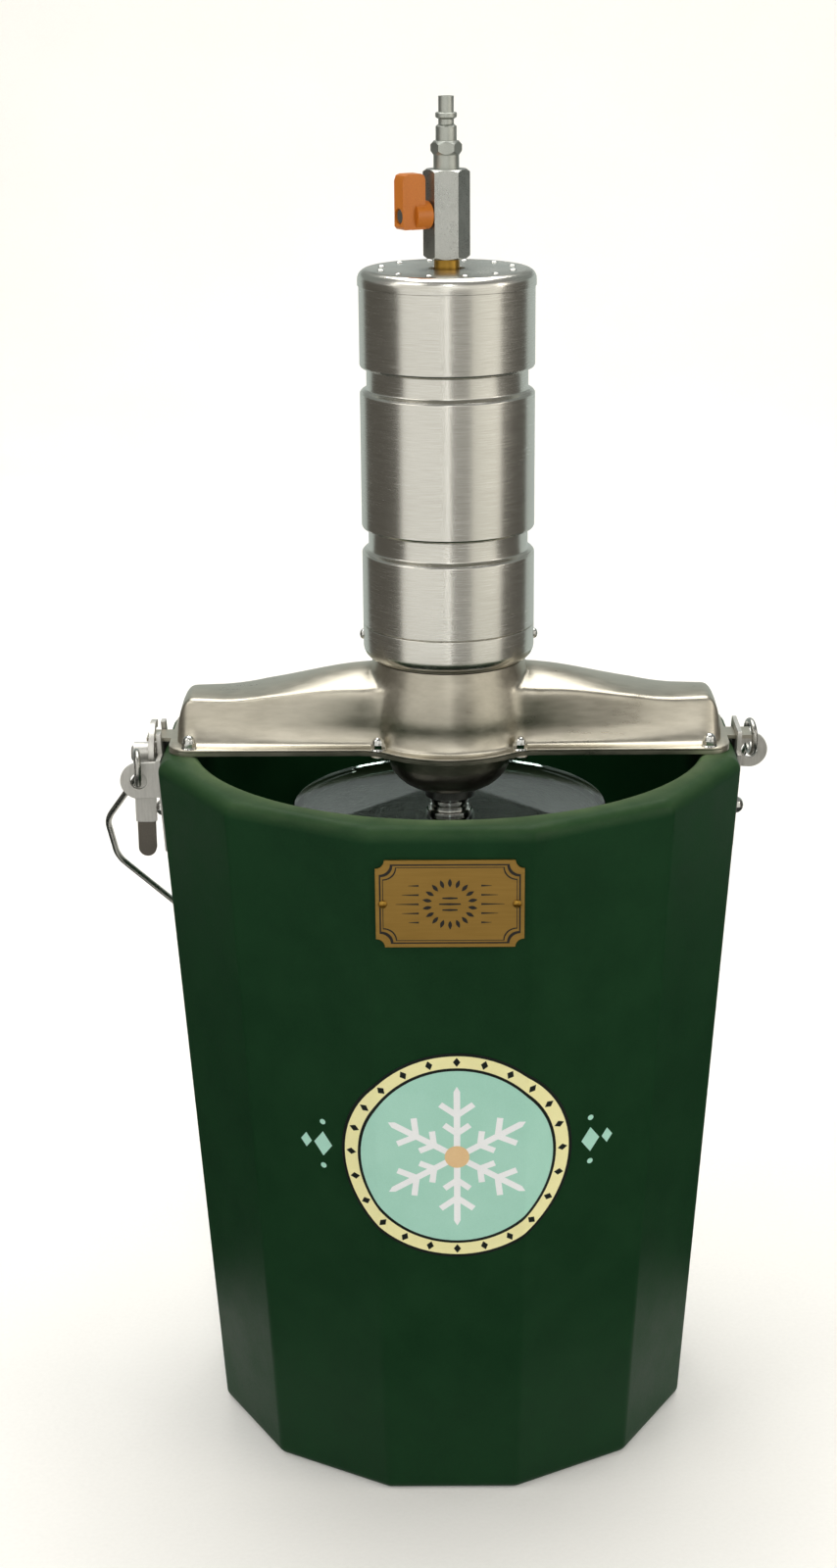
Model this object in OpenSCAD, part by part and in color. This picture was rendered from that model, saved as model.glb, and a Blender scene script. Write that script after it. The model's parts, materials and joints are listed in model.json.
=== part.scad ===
// Ice cream freezer with an insulated tub and an air motor drive.
// Millimetres. Z is up, the front faces -Y, the origin is the centre of the tub's foot.

/* [Tub] */
// Height of the tub at its rim
tub_h = 392; // [376:1:408]
// Width across two sides at the rim
tub_top_w = 312; // [304:1:328]
// Width across two sides at the foot
tub_foot_w = 262; // [254:1:272]
// Wall thickness at the middle of a side
tub_wall = 18; // [15:0.5:20]
// Thickness of the floor
tub_floor = 28; // [22:1:34]
// Radius of the rim's outer edge
rim_r = 8; // [5:0.5:9]
// Radius of the upright corners
corner_r = 7; // [4:0.5:10]
// Bore of the brine drain in the back wall
drain_d = 12; // [10:0.5:14]
// Height of the brine drain
drain_z = 300; // [270:1:320]

/* [Can and dasher] */
// Outside diameter of the can
can_d = 168; // [158:1:174]
// Sheet thickness of the can
can_wall = 1.2; // [0.8:0.1:1.8]
// Thickness of the clear lid
lid_t = 3; // [2:0.25:4]
// How far the lid's top lies below the rim
lid_drop = 43; // [40:0.5:48]
// Diameter of the dasher's stem
stem_d = 12.8; // [12:0.2:14]
// Width of the dasher's flat bars
bar_w = 16; // [12:1:20]

/* [Gear frame] */
// Height of the arm ends above the rim
arm_end_h = 27; // [24:0.5:30]
// Height of the collar above the rim
collar_h = 46; // [44:0.5:52]
// Width of the arms at their foot
arm_w = 54; // [50:1:60]
// Diameter of the middle cup
cup_d = 91; // [89:0.5:96]
// Width of the flange around the arms
flange_w = 8.5; // [8:0.25:10]
// Sheet thickness of the gear frame
sheet_t = 1.5; // [1.2:0.1:2]
// Thickness of the bottom plate
plate_t = 2; // [1.5:0.25:2.5]

/* [Motor housing] */
// Outside diameter of the housing
housing_d = 92; // [90:0.5:98]
// Wall thickness of the housing tube
housing_t = 1.5; // [1:0.1:1.8]
// Height of the rounded base ring
base_ring_h = 19; // [17:0.5:22]
// Height of the band below the lower groove
lower_band_h = 40; // [37:0.5:46]
// Height of the band between the grooves
middle_band_h = 71.5; // [64:0.5:80]
// Height of the band above the upper groove
upper_band_h = 41; // [37:0.5:48]
// Height of each rolled groove
groove_h = 13.5; // [13:0.25:16]
// Depth of each rolled groove
groove_depth = 3.5; // [2.5:0.25:3.75]
// Height of the cap
cap_h = 8.5; // [7:0.5:11]
// Number of vent holes in the cap
vent_count = 12; // [8:1:16]
// Diameter of each vent hole
vent_d = 3; // [2:0.25:4]

/* [Gear train] */
// Size of the gear teeth
gear_module = 1; // [0.95:0.01:1.02]
// Play between meshed teeth
backlash = 0.2; // [0.14:0.02:0.28]
// Radial play of a shaft that turns
run_gap = 0.05; // [0.03:0.01:0.08]

/* [Air inlet] */
// Width across flats of the valve body
valve_w = 21; // [20:0.25:23]
// Length of the valve body
valve_len = 45; // [42:0.5:50]
// Length of nipple showing under the valve
nipple_show = 5; // [4:0.5:8]
// Diameter of the plug's nose
nose_d = 7.9; // [7.6:0.1:8.2]
// Length of the plug's nose
nose_len = 8; // [7:0.5:10]

/* [Brackets, latch and bail] */
// Sheet thickness of the side brackets
bracket_t = 2.5; // [2:0.25:3]
// Distance of each ear from the middle of its side
ear_off = 26; // [24:0.5:29]
// Outside radius of each ear
ear_r = 10; // [9.5:0.25:11]
// Hole radius of each ear
ear_hole_r = 4.5; // [4.25:0.05:4.75]
// Wire diameter of the bail
wire_d = 3.5; // [3:0.1:3.8]
// Reach of the bail from its hinge line
bail_reach = 240; // [238:1:256]
// How far the bail bows out beyond its eyes
bail_bow = 17; // [15:0.5:19]
// How far the bail's right leg is set in from its eye
bail_tuck = 4; // [3:0.5:5]
// Distance from the hinge to the widest part of the bow
bow_at = 52; // [46:1:58]
// Distance from the hinge to the end of the bow
bow_end = 94; // [88:1:102]
// Inside radius of the bail's eyes
eye_in = 7.2; // [6.8:0.1:7.6]
// Diameter of the bail's grip
grip_d = 15; // [12:0.5:16]
// Length of the bail's grip
grip_len = 90; // [80:1:96]
// Room between the hanging grip and the tub's back
grip_gap = 0.3; // [0.2:0.1:1]
// Length of the latch lever below its pivot
lever_len = 58; // [50:1:64]

/* [Plaque] */
// Width of the plaque
plaque_w = 74; // [60:1:76]
// Height of the plaque
plaque_h = 47; // [38:1:50]

/* [Hidden] */
$fn = 64;
sides = 12;
fit = 0.05;
sun_z = 18;
planet_z = 21;
ring_z = 60;
pressure = 20;
addendum = 0.9;
dedendum = 1.2;
sun_r = sun_z * gear_module / 2;
planet_r = planet_z * gear_module / 2;
ring_r = ring_z * gear_module / 2;
planet_at = sun_r + planet_r;
planet_pin_r = 3;
tie_at = ring_r + 5;
tie_r = 2;
stack_r = ring_r + 8.5;
shaft_r = 6;

draft = atan((tub_top_w - tub_foot_w) / 2 / tub_h);
rim_half = tub_top_w / 2;
foot_half = tub_foot_w / 2;
mouth_r = rim_half - tub_wall;
sump_r = foot_half - tub_wall + tub_floor * tan(draft);
can_r = can_d / 2;
can_z = tub_floor + 8;
lid_z = tub_h - lid_drop;
can_top = lid_z - lid_t;
lid_r = can_r + 2.7;

shell_z = tub_h + plate_t;
collar_z = tub_h + collar_h;
flange_half = rim_half - 5;
shell_half = flange_half - 4;
tongue_half = rim_half + 9;
cup_r = cup_d / 2;
collar_r = cup_r - 4.5;
arm_half = arm_w / 2;
end_rise = arm_end_h - plate_t;
top_rise = collar_h - plate_t;
nut_pos = [[flange_half - 11.5, arm_half + 4.4], [cup_r - 7.5, arm_half + 8.6]];

drive_z = shell_z + 1.2;
drive_top = drive_z + 14.8;
spider_z = drive_top + 0.6;
gear_face_3 = 10.4;
drive_bore = 9.4;
drive_hub_r = 13.5;
cup_low = lid_z + 16;

housing_r = housing_d / 2;
base_top = collar_z + base_ring_h;
groove_1 = base_top + lower_band_h;
band_2 = groove_1 + groove_h;
groove_2 = band_2 + middle_band_h;
band_3 = groove_2 + groove_h;
cap_z = band_3 + upper_band_h;
housing_top = cap_z + cap_h;
groove_r = housing_r - groove_depth;
bulkhead_r = groove_r - housing_t - 0.1;
gearbox_z = collar_z + 10;
face = (groove_1 - gearbox_z - 16) / 2;
carrier_2 = gearbox_z + 0.7;
stage_2 = carrier_2 + 4.8;
carrier_1 = stage_2 + face + 1.6;
stage_1 = carrier_1 + 4.8;
carrier_r = planet_at + 6;
rotor_r = 23.2;
rotor_off = 2.5;
nipple_r = 6.6;

valve_z = housing_top + nipple_show;
valve_top = valve_z + valve_len;
valve_mid = valve_z + valve_len / 2;
stem_turn = 210;
nose_z = valve_top + 28;

ear_z = tub_h - 15;
ear_x = 13;
wire_r = wire_d / 2;
bar_z = ear_z + (ear_hole_r + ear_r) / 2;
eye_r = eye_in + wire_r;
pivot_z = tub_h - 9;
ear_mid = foot_half + ear_x * cos(draft) + bar_z * sin(draft);
hinge_z = bar_z * cos(draft) - ear_x * sin(draft);
skew = atan(ear_off / ear_mid);
half_span = norm([ear_off, ear_mid]);
lean = cos(skew) * (1 + tan(180 / sides) * tan(skew));
lean_draft = atan(lean * tan(draft));
hang_reach = (lean * (foot_half + hinge_z * tan(draft)) + grip_d / 2 + grip_gap) * cos(lean_draft);
bail_hang = lean_draft + acos(hang_reach / bail_reach);
bracket_out = rim_half + 4.2;
lever_x0 = bracket_out + 1.3;
lever_x1 = lever_x0 + 11.5;

// Helpers

function smax(a, b, k) = (a + b + sqrt((a - b) * (a - b) + k * k)) / 2;
function clamp01(v) = min(1, max(0, v));
function ease(v) = (1 - cos(180 * clamp01(v))) / 2;

// Involute of a gear's base circle, in degrees
function invol(a) = tan(a) * 180 / PI - a;

// Outline of a spur gear, one tooth after the other
function gear_points(z, m, add, ded, thin) =
    let (
        rp = z * m / 2,
        rb = rp * cos(pressure),
        ra = rp + add * m,
        rf = rp - ded * m,
        r0 = max(rb * 1.0005, rf),
        half = 90 / z - thin / rp * 90 / PI
    )
    [for (i = [0 : z - 1])
        let (
            flank = [for (k = [0 : 3])
                let (r = r0 + (ra - r0) * k / 3)
                [r, half + invol(pressure) - invol(acos(min(1, rb / r)))]],
            foot = rf < r0 - 0.02 ? [[rf, flank[0][1]]] : [],
            up = concat(foot, flank),
            n = len(up)
        )
        for (p = concat(
            [for (q = up) [q[0], -q[1]]],
            [for (k = [1 : n]) up[n - k]]))
            [p[0] * cos(360 * i / z + p[1]), p[0] * sin(360 * i / z + p[1])]];

// Spur gear with a bore
module spur(z, h, bore) {
    linear_extrude(h)
        difference() {
            polygon(gear_points(z, gear_module, addendum, dedendum, backlash / 2));
            if (bore > 0) circle(bore);
        }
}

// Toothed hole of a ring gear
module ring_cut(h) {
    linear_extrude(h)
        polygon(gear_points(ring_z, gear_module, dedendum, addendum, -backlash / 2));
}

// Upright tube
module tube(r_out, r_in, h) {
    linear_extrude(h)
        difference() {
            circle(r_out);
            circle(r_in);
        }
}

// Copies its child to both sides of the tub
module both_sides() {
    children();
    rotate([0, 0, 180])
        children();
}

// Lays its child along the slope of the side that faces +X
module on_side() {
    translate([foot_half, 0, 0])
        rotate([0, draft, 0])
            children();
}

// Lays its child along the slope of the front side
module on_front() {
    translate([0, -foot_half, 0])
        rotate([draft, 0, 0])
            children();
}

// Points along a flat route, with each corner bent to its own radius
function route_points(p, bend) =
    let (n = len(p))
    [for (i = [0 : n - 1])
        for (q = (i == 0 || i == n - 1) ? [p[i]] : corner_points(p[i - 1], p[i], p[i + 1], bend[i]))
            q];
function corner_points(a, b, c, r) =
    let (
        u = (b - a) / norm(b - a),
        v = (c - b) / norm(c - b),
        turn = turn_of(u, v),
        side = turn > 0 ? 1 : -1,
        start = b - u * abs(r * tan(turn / 2)),
        mid = start + side * r * [-u[1], u[0]],
        steps = ceil(abs(turn) / 9)
    )
    [for (k = [0 : steps])
        let (w = turn * k / steps, d = start - mid)
        mid + [d[0] * cos(w) - d[1] * sin(w), d[0] * sin(w) + d[1] * cos(w)]];

// Round wire along a flat route
module wire_route(p) {
    n = len(p);
    m = 12;
    ring_stack([for (i = [0 : n - 1])
        let (
            t = p[min(n - 1, i + 1)] - p[max(0, i - 1)],
            nrm = [-t[1], t[0]] / norm(t)
        )
        [for (k = [0 : m - 1])
            let (a = 360 * k / m)
            [p[i][0] + nrm[0] * wire_r * cos(a), p[i][1] + nrm[1] * wire_r * cos(a),
                wire_r * sin(a)]]]);
}
function turn_of(u, v) = atan2(u[0] * v[1] - u[1] * v[0], u[0] * v[0] + u[1] * v[1]);

// Tub

// Ring of points around the many-sided tub at one height
function tub_ring(half, r, z) =
    [for (k = [0 : sides - 1])
        for (s = [-1 : 1])
            let (
                a = 360 / sides * (k + 0.5),
                c = (half - r) / cos(180 / sides),
                b = a + s * 180 / sides
            )
            [c * cos(a) + r * cos(b), c * sin(a) + r * sin(b), z]];
function side_half(z) = foot_half + (rim_half - foot_half) * z / tub_h;

// Closed skin through a stack of rings with equal counts
module ring_stack(rings) {
    n = len(rings[0]);
    m = len(rings);
    polyhedron(
        points = [for (ring = rings) for (p = ring) p],
        faces = concat(
            [[for (j = [0 : n - 1]) j]],
            [[for (j = [0 : n - 1]) m * n - 1 - j]],
            [for (i = [0 : m - 2])
                for (j = [0 : n - 1])
                    [i * n + j, (i + 1) * n + j, (i + 1) * n + (j + 1) % n, i * n + (j + 1) % n]]
        )
    );
}

// Outside of the tub, with its rolled foot and rim
module tub_block() {
    foot_r = 5;
    foot = [for (t = [0, 45, 90])
        let (in = foot_r * (1 - sin(t)), z = foot_r * (1 - cos(t)))
        tub_ring(side_half(z) - in, corner_r - in / 2, z)];
    rim = [for (t = [0, 22.5, 45, 67.5, 90])
        let (in = rim_r * (1 - cos(t)), z = tub_h - rim_r + rim_r * sin(t))
        tub_ring(side_half(z) - in, max(1, corner_r - in / 2), z)];
    ring_stack(concat(foot, rim));
}

// Insulated tub with a round ice space
module tub() {
    lip = 5;
    color("#2f4a36")
        difference() {
            tub_block();
            rotate_extrude()
                polygon(concat(
                    [[0, tub_floor], [sump_r - 8, tub_floor], [sump_r - 2.5, tub_floor + 2.5],
                        [sump_r, tub_floor + 8]],
                    [for (t = [0 : 15 : 90])
                        [mouth_r + lip * (1 - cos(t)), tub_h - lip + lip * sin(t)]],
                    [[mouth_r + lip, tub_h + 1], [0, tub_h + 1]]));
            both_sides()
                on_side()
                    bolt_spots()
                        translate([1, 0, 0])
                            rotate([0, -90, 0])
                                cylinder(r = 2.5 + fit, h = 14);
            on_front()
                plaque_spots()
                    translate([0, -1, 0])
                        rotate([-90, 0, 0])
                            cylinder(r = 1.2 + fit, h = 9);
            translate([0, mouth_r - 40, drain_z])
                rotate([-90, 0, 0])
                    cylinder(r = drain_d / 2, h = 80);
        }
}

// Plaque

// Places of the plaque's two screws
module plaque_spots() {
    for (s = [-1, 1])
        translate([s * (plaque_w / 2 - 3.6), 0, tub_h - 39])
            children();
}

// Brass plaque with scooped corners
module plaque() {
    t = 1.2;
    color("#c9b06a")
        on_front()
            translate([0, -fit, tub_h - 39])
                rotate([90, 0, 0])
                    linear_extrude(t)
                        difference() {
                            square([plaque_w, plaque_h], center = true);
                            for (x = [-1, 1])
                                for (y = [-1, 1])
                                    translate([x * plaque_w / 2, y * plaque_h / 2])
                                        circle(4.5);
                            for (x = [-1, 1])
                                translate([x * (plaque_w / 2 - 3.6), 0])
                                    circle(1.3);
                        }
}

// Round-headed screws of the plaque
module plaque_screws() {
    color("#b98d3e")
        on_front()
            plaque_spots()
                translate([0, -1.3, 0])
                    rotate([-90, 0, 0]) {
                        cylinder(r = 1.2, h = 8);
                        rotate_extrude()
                            polygon([[0, -1.3], [1, -1.1], [1.8, -0.6], [2.2, 0], [0, 0]]);
                    }
}

// Brackets, latch and bail

// Places of one bracket's two bolts, on the wall
module bolt_spots() {
    for (y = [-14, 14])
        translate([0, y, tub_h - 35])
            children();
}

// Side bracket with a bent ear; the slot takes the gear frame's tongue
module side_bracket(slot_top) {
    low = tub_h - 56;
    high = tub_h + 7;
    ear_y = ear_off - bracket_t / 2;
    difference() {
        union() {
            on_side()
                translate([0.1, 0, 0]) {
                    translate([0, -22, low])
                        cube([bracket_t, 22 + ear_off + bracket_t / 2, tub_h - 4 - low]);
                    translate([0, -16, tub_h - 6])
                        cube([bracket_t, 32, high - tub_h + 2]);
                    translate([0, 0, high - 4])
                        rotate([0, 90, 0])
                            linear_extrude(bracket_t)
                                intersection() {
                                    circle(16);
                                    translate([-4, -16])
                                        square([8, 32]);
                                }
                    translate([0, ear_y, ear_z - ear_r])
                        cube([ear_x, bracket_t, 2 * ear_r]);
                    translate([ear_x - 0.1, ear_y, ear_z])
                        rotate([-90, 0, 0])
                            cylinder(r = ear_r, h = bracket_t);
                }
        }
        on_side()
            translate([ear_x, ear_y - 1, ear_z])
                rotate([-90, 0, 0])
                    cylinder(r = ear_hole_r, h = bracket_t + 2);
        on_side()
            bolt_spots()
                rotate([0, 90, 0])
                    cylinder(r = 2.5 + fit, h = 10, center = true);
        translate([rim_half - 6, -9.5, tub_h - 0.6])
            cube([20, 19, slot_top]);
    }
}

module right_bracket() {
    color("#8e918f")
        side_bracket(plate_t + 1);
}

module left_bracket() {
    color("#8e918f")
        rotate([0, 0, 180])
            difference() {
                side_bracket(30);
                translate([rim_half - 20, 0, pivot_z])
                    rotate([0, 90, 0])
                        cylinder(r = 3 + fit, h = 40);
            }
}

// Pan-headed bolts that hold the brackets
module bracket_bolts() {
    color("#b9bbb8")
        both_sides()
            on_side()
                bolt_spots()
                    translate([bracket_t + 0.15, 0, 0])
                        rotate([0, 90, 0]) {
                            translate([0, 0, -15])
                                cylinder(r = 2.5, h = 15);
                            rotate_extrude()
                                polygon([[0, 0], [4.6, 0], [4.6, 2.7], [3.7, 4], [1.9, 4.6],
                                    [0, 4.6]]);
                        }
}

// Shoulder pin on which the latch turns
module latch_pivot() {
    inner = side_half(pivot_z) + 0.5;
    color("#9a9c9a")
        rotate([0, 0, 180])
            translate([0, 0, pivot_z])
                rotate([0, 90, 0]) {
                    translate([0, 0, inner])
                        cylinder(r = 3, h = lever_x1 + 0.4 - inner);
                    translate([0, 0, lever_x1 + 0.3])
                        cylinder(r1 = 4.6, r2 = 3.6, h = 1.1);
                }
}

// Latch with its rolled eye, hook and hanging strap
module latch_lever() {
    hook_in = norm([8, tub_h + plate_t - pivot_z]) + 0.7;
    hook_w = 4.2;
    color("#a9aba8")
        rotate([0, 0, 180])
            translate([0, 0, pivot_z])
                difference() {
                    union() {
                        translate([bracket_out, 0, 0])
                            rotate([0, 90, 0])
                                cylinder(r = 6, h = lever_x1 - bracket_out);
                        translate([lever_x0, 2.9, -lever_len + 20])
                            cube([11.5, 2.6, lever_len - 20]);
                        translate([lever_x0 + 1.5, 2.9, -lever_len + 12])
                            cube([8.5, 2.6, 9]);
                        translate([bracket_out, 0, 0])
                            rotate([90, 0, 90])
                                linear_extrude(3) {
                                    intersection() {
                                        difference() {
                                            circle(hook_in + hook_w);
                                            circle(hook_in);
                                        }
                                        polygon([[0, 0], [40, 4], [40, 40], [-20, 40]]);
                                    }
                                    translate([2, -3.5])
                                        square([hook_in + 1.6, 7]);
                                }
                    }
                    translate([bracket_out - 1, 0, 0])
                        rotate([0, 90, 0])
                            cylinder(r = 3 + run_gap, h = 30);
                }
}

// Dipped finger tab on the end of the latch strap
module latch_tab() {
    mid = (lever_x0 + lever_x1) / 2;
    color("#6d6a62")
        rotate([0, 0, 180])
            difference() {
                translate([mid, 6.1, pivot_z - lever_len])
                    rotate([90, 0, 0])
                        linear_extrude(3.8) {
                            translate([0, 4.9])
                                circle(4.9);
                            translate([-4.9, 4.9])
                                square([9.8, 14.9]);
                        }
                translate([lever_x0 + 1.5 - fit, 2.9 - fit, pivot_z - lever_len + 12 - fit])
                    cube([8.5 + 2 * fit, 2.6 + 2 * fit, 20]);
            }
}

// Places its child in the plane of the hanging bail
module bail_plane() {
    translate([0, 0, hinge_z])
        rotate([0, 0, skew])
            rotate([-bail_hang, 0, 0])
                children();
}

// Wire bail with an eye at each end
module bail() {
    h = half_span;
    turn = grip_len / 2 + wire_d * 15.5;
    left = [[-h, eye_r], [-h - bail_bow, bow_at], [-h - bail_bow * 0.68, bow_end], [-turn, bail_reach]];
    right = [[turn, bail_reach], [h - bail_tuck * 3.5, bow_end], [h - bail_tuck, bow_at], [h, eye_r]];
    bends = [0, bow_at * 0.57, bow_end * 0.49, grip_len * 0.55];
    color("#b4b6b3")
        bail_plane() {
            wire_route(route_points(concat(left, right), concat(bends, [for (i = [3 : -1 : 0]) bends[i]])));
            for (s = [-1, 1])
                translate([s * h, 0, 0])
                    rotate([0, 90, 0])
                        rotate_extrude()
                            translate([eye_r, 0])
                                circle(wire_r, $fn = 32);
        }
}

// Turned grip on the middle of the bail
module bail_grip() {
    r = grip_d / 2;
    e = grip_len / 2;
    color("#2a2b29")
        bail_plane()
            translate([0, bail_reach, 0])
                rotate([0, 90, 0])
                    rotate_extrude()
                        polygon([[wire_r + 0.06, -e], [r - 1.5, -e], [r, 1.5 - e], [r - 1, 15 - e],
                            [r - 1, e - 15], [r, e - 1.5], [r - 1.5, e], [wire_r + 0.06, e]]);
}

// Can, lid and dasher

// Post on the tub's floor that the can turns on
module can_pivot() {
    color("#8a8c8a")
        translate([0, 0, tub_floor])
            rotate_extrude()
                polygon([[0, 0], [24, 0], [24, 2], [22.5, 3.5], [9, 4.5], [7, 6.5], [7, 17.5],
                    [6, 19], [3.5, 19.7], [0, 19.7]]);
}

// Deep steel can with a pivot socket and a rolled rim
module can() {
    w = can_wall;
    socket = 7 + run_gap;
    top = can_z + 12.2;
    color("#c3c5c3")
        rotate_extrude() {
            polygon([[socket, can_z], [can_r - 4, can_z], [can_r - 1.2, can_z + 1.2],
                [can_r, can_z + 4], [can_r, can_top - 1], [can_r - w, can_top - 1],
                [can_r - w, can_z + 4], [can_r - w - 1, can_z + 2], [can_r - 4, can_z + 1.5],
                [10, can_z + 1.5], [10, top + 1], [9, top + 2], [0, top + 2], [0, top],
                [socket, top]]);
            translate([can_r - 0.4, can_top - 1.8])
                circle(1.7, $fn = 24);
        }
}

// Clear lid with a skirt around the can's rim
module lid() {
    color("#dfe8e6", 0.4)
        rotate_extrude()
            polygon([[9.05, can_top + fit], [can_r + 1.4, can_top + fit], [can_r + 1.4, can_top - 7],
                [lid_r, can_top - 7], [lid_r, lid_z - 1], [lid_r - 1, lid_z], [9.05, lid_z]]);
}

// Stepped hub of the lid with a hexagon head
module lid_hub() {
    bore = stem_d / 2 + run_gap;
    flat = 9;
    color("#cfd1cf") {
        rotate_extrude()
            polygon([[bore, can_top - 2.4], [13.5, can_top - 2.4], [13.5, can_top], [9, can_top],
                [9, lid_z + fit], [12.6, lid_z + fit], [12.6, lid_z + 1.4], [11.8, lid_z + 2.4],
                [10.6, lid_z + 2.4], [10.6, lid_z + 4.2], [9.2, lid_z + 4.6], [9.2, lid_z + 5.4],
                [10.6, lid_z + 5.8], [10.6, lid_z + 7.4], [9.2, lid_z + 7.8], [9.2, lid_z + 9.2],
                [bore, lid_z + 9.2]]);
        translate([0, 0, lid_z + 9.1])
            linear_extrude(8)
                difference() {
                    circle(flat / cos(30), $fn = 6);
                    circle(bore);
                }
    }
}

// Dasher with stem, arms, side bars and slanted paddles
module dasher() {
    low = can_z + 5;
    bar_x = can_r - can_wall - 18;
    arm_low = can_z + 20;
    arm_high = can_top - 28;
    square_w = stem_d * 0.7;
    color("#b9bcba")
        difference() {
            union() {
                translate([0, 0, low])
                    cylinder(r = 14, h = 23);
                translate([0, 0, low + 22])
                    cylinder(r = stem_d / 2, h = lid_z + 17 - low - 22);
                translate([-square_w / 2, -square_w / 2, lid_z + 16])
                    cube([square_w, square_w, 22]);
                for (s = [0, 180])
                    rotate([0, 0, s]) {
                        for (z = [arm_low, arm_high])
                            translate([0, -bar_w / 2, z])
                                cube([bar_x + 3, bar_w, 4]);
                        translate([bar_x, -bar_w / 2, arm_low])
                            cube([3, bar_w, arm_high - arm_low + 4]);
                        translate([bar_x * 0.52, 0, arm_low + 1])
                            rotate([0, 0, 35])
                                translate([-1.25, -10, 0])
                                    cube([2.5, 20, arm_high - arm_low + 1]);
                    }
                translate([0, 0, arm_high - 6])
                    cylinder(r = 10, h = 16);
            }
            translate([0, 0, low - 1])
                cylinder(r = 10 + run_gap, h = 11.5);
        }
}

// Scraper blades that wipe the can's wall
module scrapers() {
    bar_x = can_r - can_wall - 18;
    reach = can_r - can_wall - 0.6;
    color("#e9e6dc")
        for (s = [0, 180])
            rotate([0, 0, s])
                translate([0, 0, can_z + 6])
                    linear_extrude(can_top - can_z - 16)
                        polygon([[bar_x + 3 + fit, -6], [bar_x + 7, -6], [reach - 1.2, 5],
                            [reach - 1.6, 9], [reach - 4, 8.4], [bar_x + 7, 3],
                            [bar_x + 3 + fit, 3]]);
}

// Gear frame

// Height of the arm's spine above the flange at distance ax from the middle
function spine(ax) =
    (end_rise + (top_rise * 0.89 - end_rise) * (1 - ease((ax - 38) / (shell_half - 60))))
    * sqrt(max(0, 1 - pow(clamp01((ax - shell_half + 9) / 9.3), 2.6)));
function crease(ax) = spine(ax) * (0.8 + 0.15 * clamp01((ax - 50) / 50));
function crease_half(ax) = arm_half - (arm_half - 14) * clamp01((ax - 46) / (shell_half - 46));
function plan_half(ax) =
    let (q = clamp01((ax - shell_half + 12) / 12))
    arm_half - 9 * (1 - sqrt(max(0, 1 - q * q)));
function arm_side(ax, z) =
    z <= crease(ax)
        ? plan_half(ax) + (min(crease_half(ax), plan_half(ax)) - plan_half(ax)) * z / max(0.1, crease(ax))
        : min(crease_half(ax), plan_half(ax))
            * sqrt(max(0, 1 - (z - crease(ax)) / max(0.1, spine(ax) - crease(ax))));
function cup_at(z) = cup_r - (cup_r - collar_r) * pow(clamp01((z - 16) / (top_rise - 16)), 1.3);
function cup_side(ax, z) = sqrt(max(0, cup_at(z) * cup_at(z) - ax * ax));
function cup_top(ax) =
    ax <= collar_r ? top_rise : top_rise * clamp01((cup_r + 1 - ax) / (cup_r + 1 - collar_r));
function frame_top(ax) = max(spine(ax), cup_top(ax));
function frame_half(ax, z) = smax(arm_side(ax, z), cup_side(ax, z), 5);

// Half width of the flange at distance ax from the middle
function flange_side(ax) =
    let (r = 12, q = clamp01((ax - flange_half + r) / r))
    smax(arm_half, sqrt(max(0, cup_r * cup_r - ax * ax)), 8) + flange_w
        - r * (1 - sqrt(max(0, 1 - q * q)));

frame_levels = [0, 0.2, 0.4, 0.55, 0.68, 0.8, 0.89, 0.95, 0.985, 1];
frame_steps = [0, 9, 17, 24, 29, 33, 36.5, 39, 41, 43, 45, 48, 53, 60, 70, 82, 96, 110, 124];
frame_ends = [9, 7, 5, 3.4, 2, 1, 0.4, 0];
function frame_half_xs() = concat(frame_steps, [for (e = frame_ends) shell_half - e]);
function frame_xs() =
    let (h = frame_half_xs(), n = len(h))
    concat([for (i = [n - 1 : -1 : 1]) -h[i]], h);

// One cross-section of the pressed frame, drawn in by t, on an upright foot that starts at low
function frame_section(x, t, low) =
    let (
        ax = abs(x),
        foot = low + 2,
        top = frame_top(ax) - t,
        zs = [for (v = frame_levels) foot + v * (top - foot)],
        ys = [for (z = zs) max(0.6, frame_half(ax, z) - t)],
        side = concat([[ys[0], low]], [for (k = [0 : len(zs) - 1]) [ys[k], zs[k]]]),
        n = len(side)
    )
    concat(
        [for (k = [0 : n - 1]) [x, side[k][0], side[k][1]]],
        [for (k = [n - 1 : -1 : 0]) [x, -side[k][0], side[k][1]]]);

// Pressed body of the gear frame as a solid
module frame_body(t, low) {
    squeeze = (shell_half - t) / shell_half;
    ring_stack([for (x = frame_xs())
        [for (p = frame_section(x, t, low)) [p[0] * squeeze, p[1], p[2]]]]);
}

// Outline of the flange
module flange_outline() {
    r = 12;
    xs = concat([for (x = [0 : 6 : flange_half - r]) x],
        [for (a = [0 : 15 : 90]) flange_half - r + r * sin(a)]);
    n = len(xs);
    half = [for (x = xs) flange_side(x)];
    polygon(concat(
        [for (i = [0 : n - 1]) [xs[i], half[i]]],
        [for (i = [n - 1 : -1 : 0]) [xs[i], -half[i]]],
        [for (i = [1 : n - 1]) [-xs[i], -half[i]]],
        [for (i = [n - 1 : -1 : 1]) [-xs[i], half[i]]]));
}

// Places of the flange bolts
module nut_spots() {
    for (p = nut_pos)
        for (x = [-1, 1])
            for (y = [-1, 1])
                translate([x * p[0], y * p[1]])
                    children();
}

// Pressed shell of the gear frame
module frame_shell() {
    color("#b7b9b8")
        translate([0, 0, shell_z])
            difference() {
                union() {
                    linear_extrude(sheet_t)
                        flange_outline();
                    frame_body(0, 0.5);
                }
                frame_body(sheet_t, -0.6);
                translate([0, 0, top_rise - 8])
                    cylinder(r = 28, h = 20);
                for (a = [30, 150, 270])
                    rotate([0, 0, a])
                        translate([tie_at, 0, top_rise - 8])
                            cylinder(r = tie_r + fit, h = 20);
                nut_spots()
                    translate([0, 0, -1])
                        cylinder(r = 2.5 + fit, h = 6);
            }
}

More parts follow.
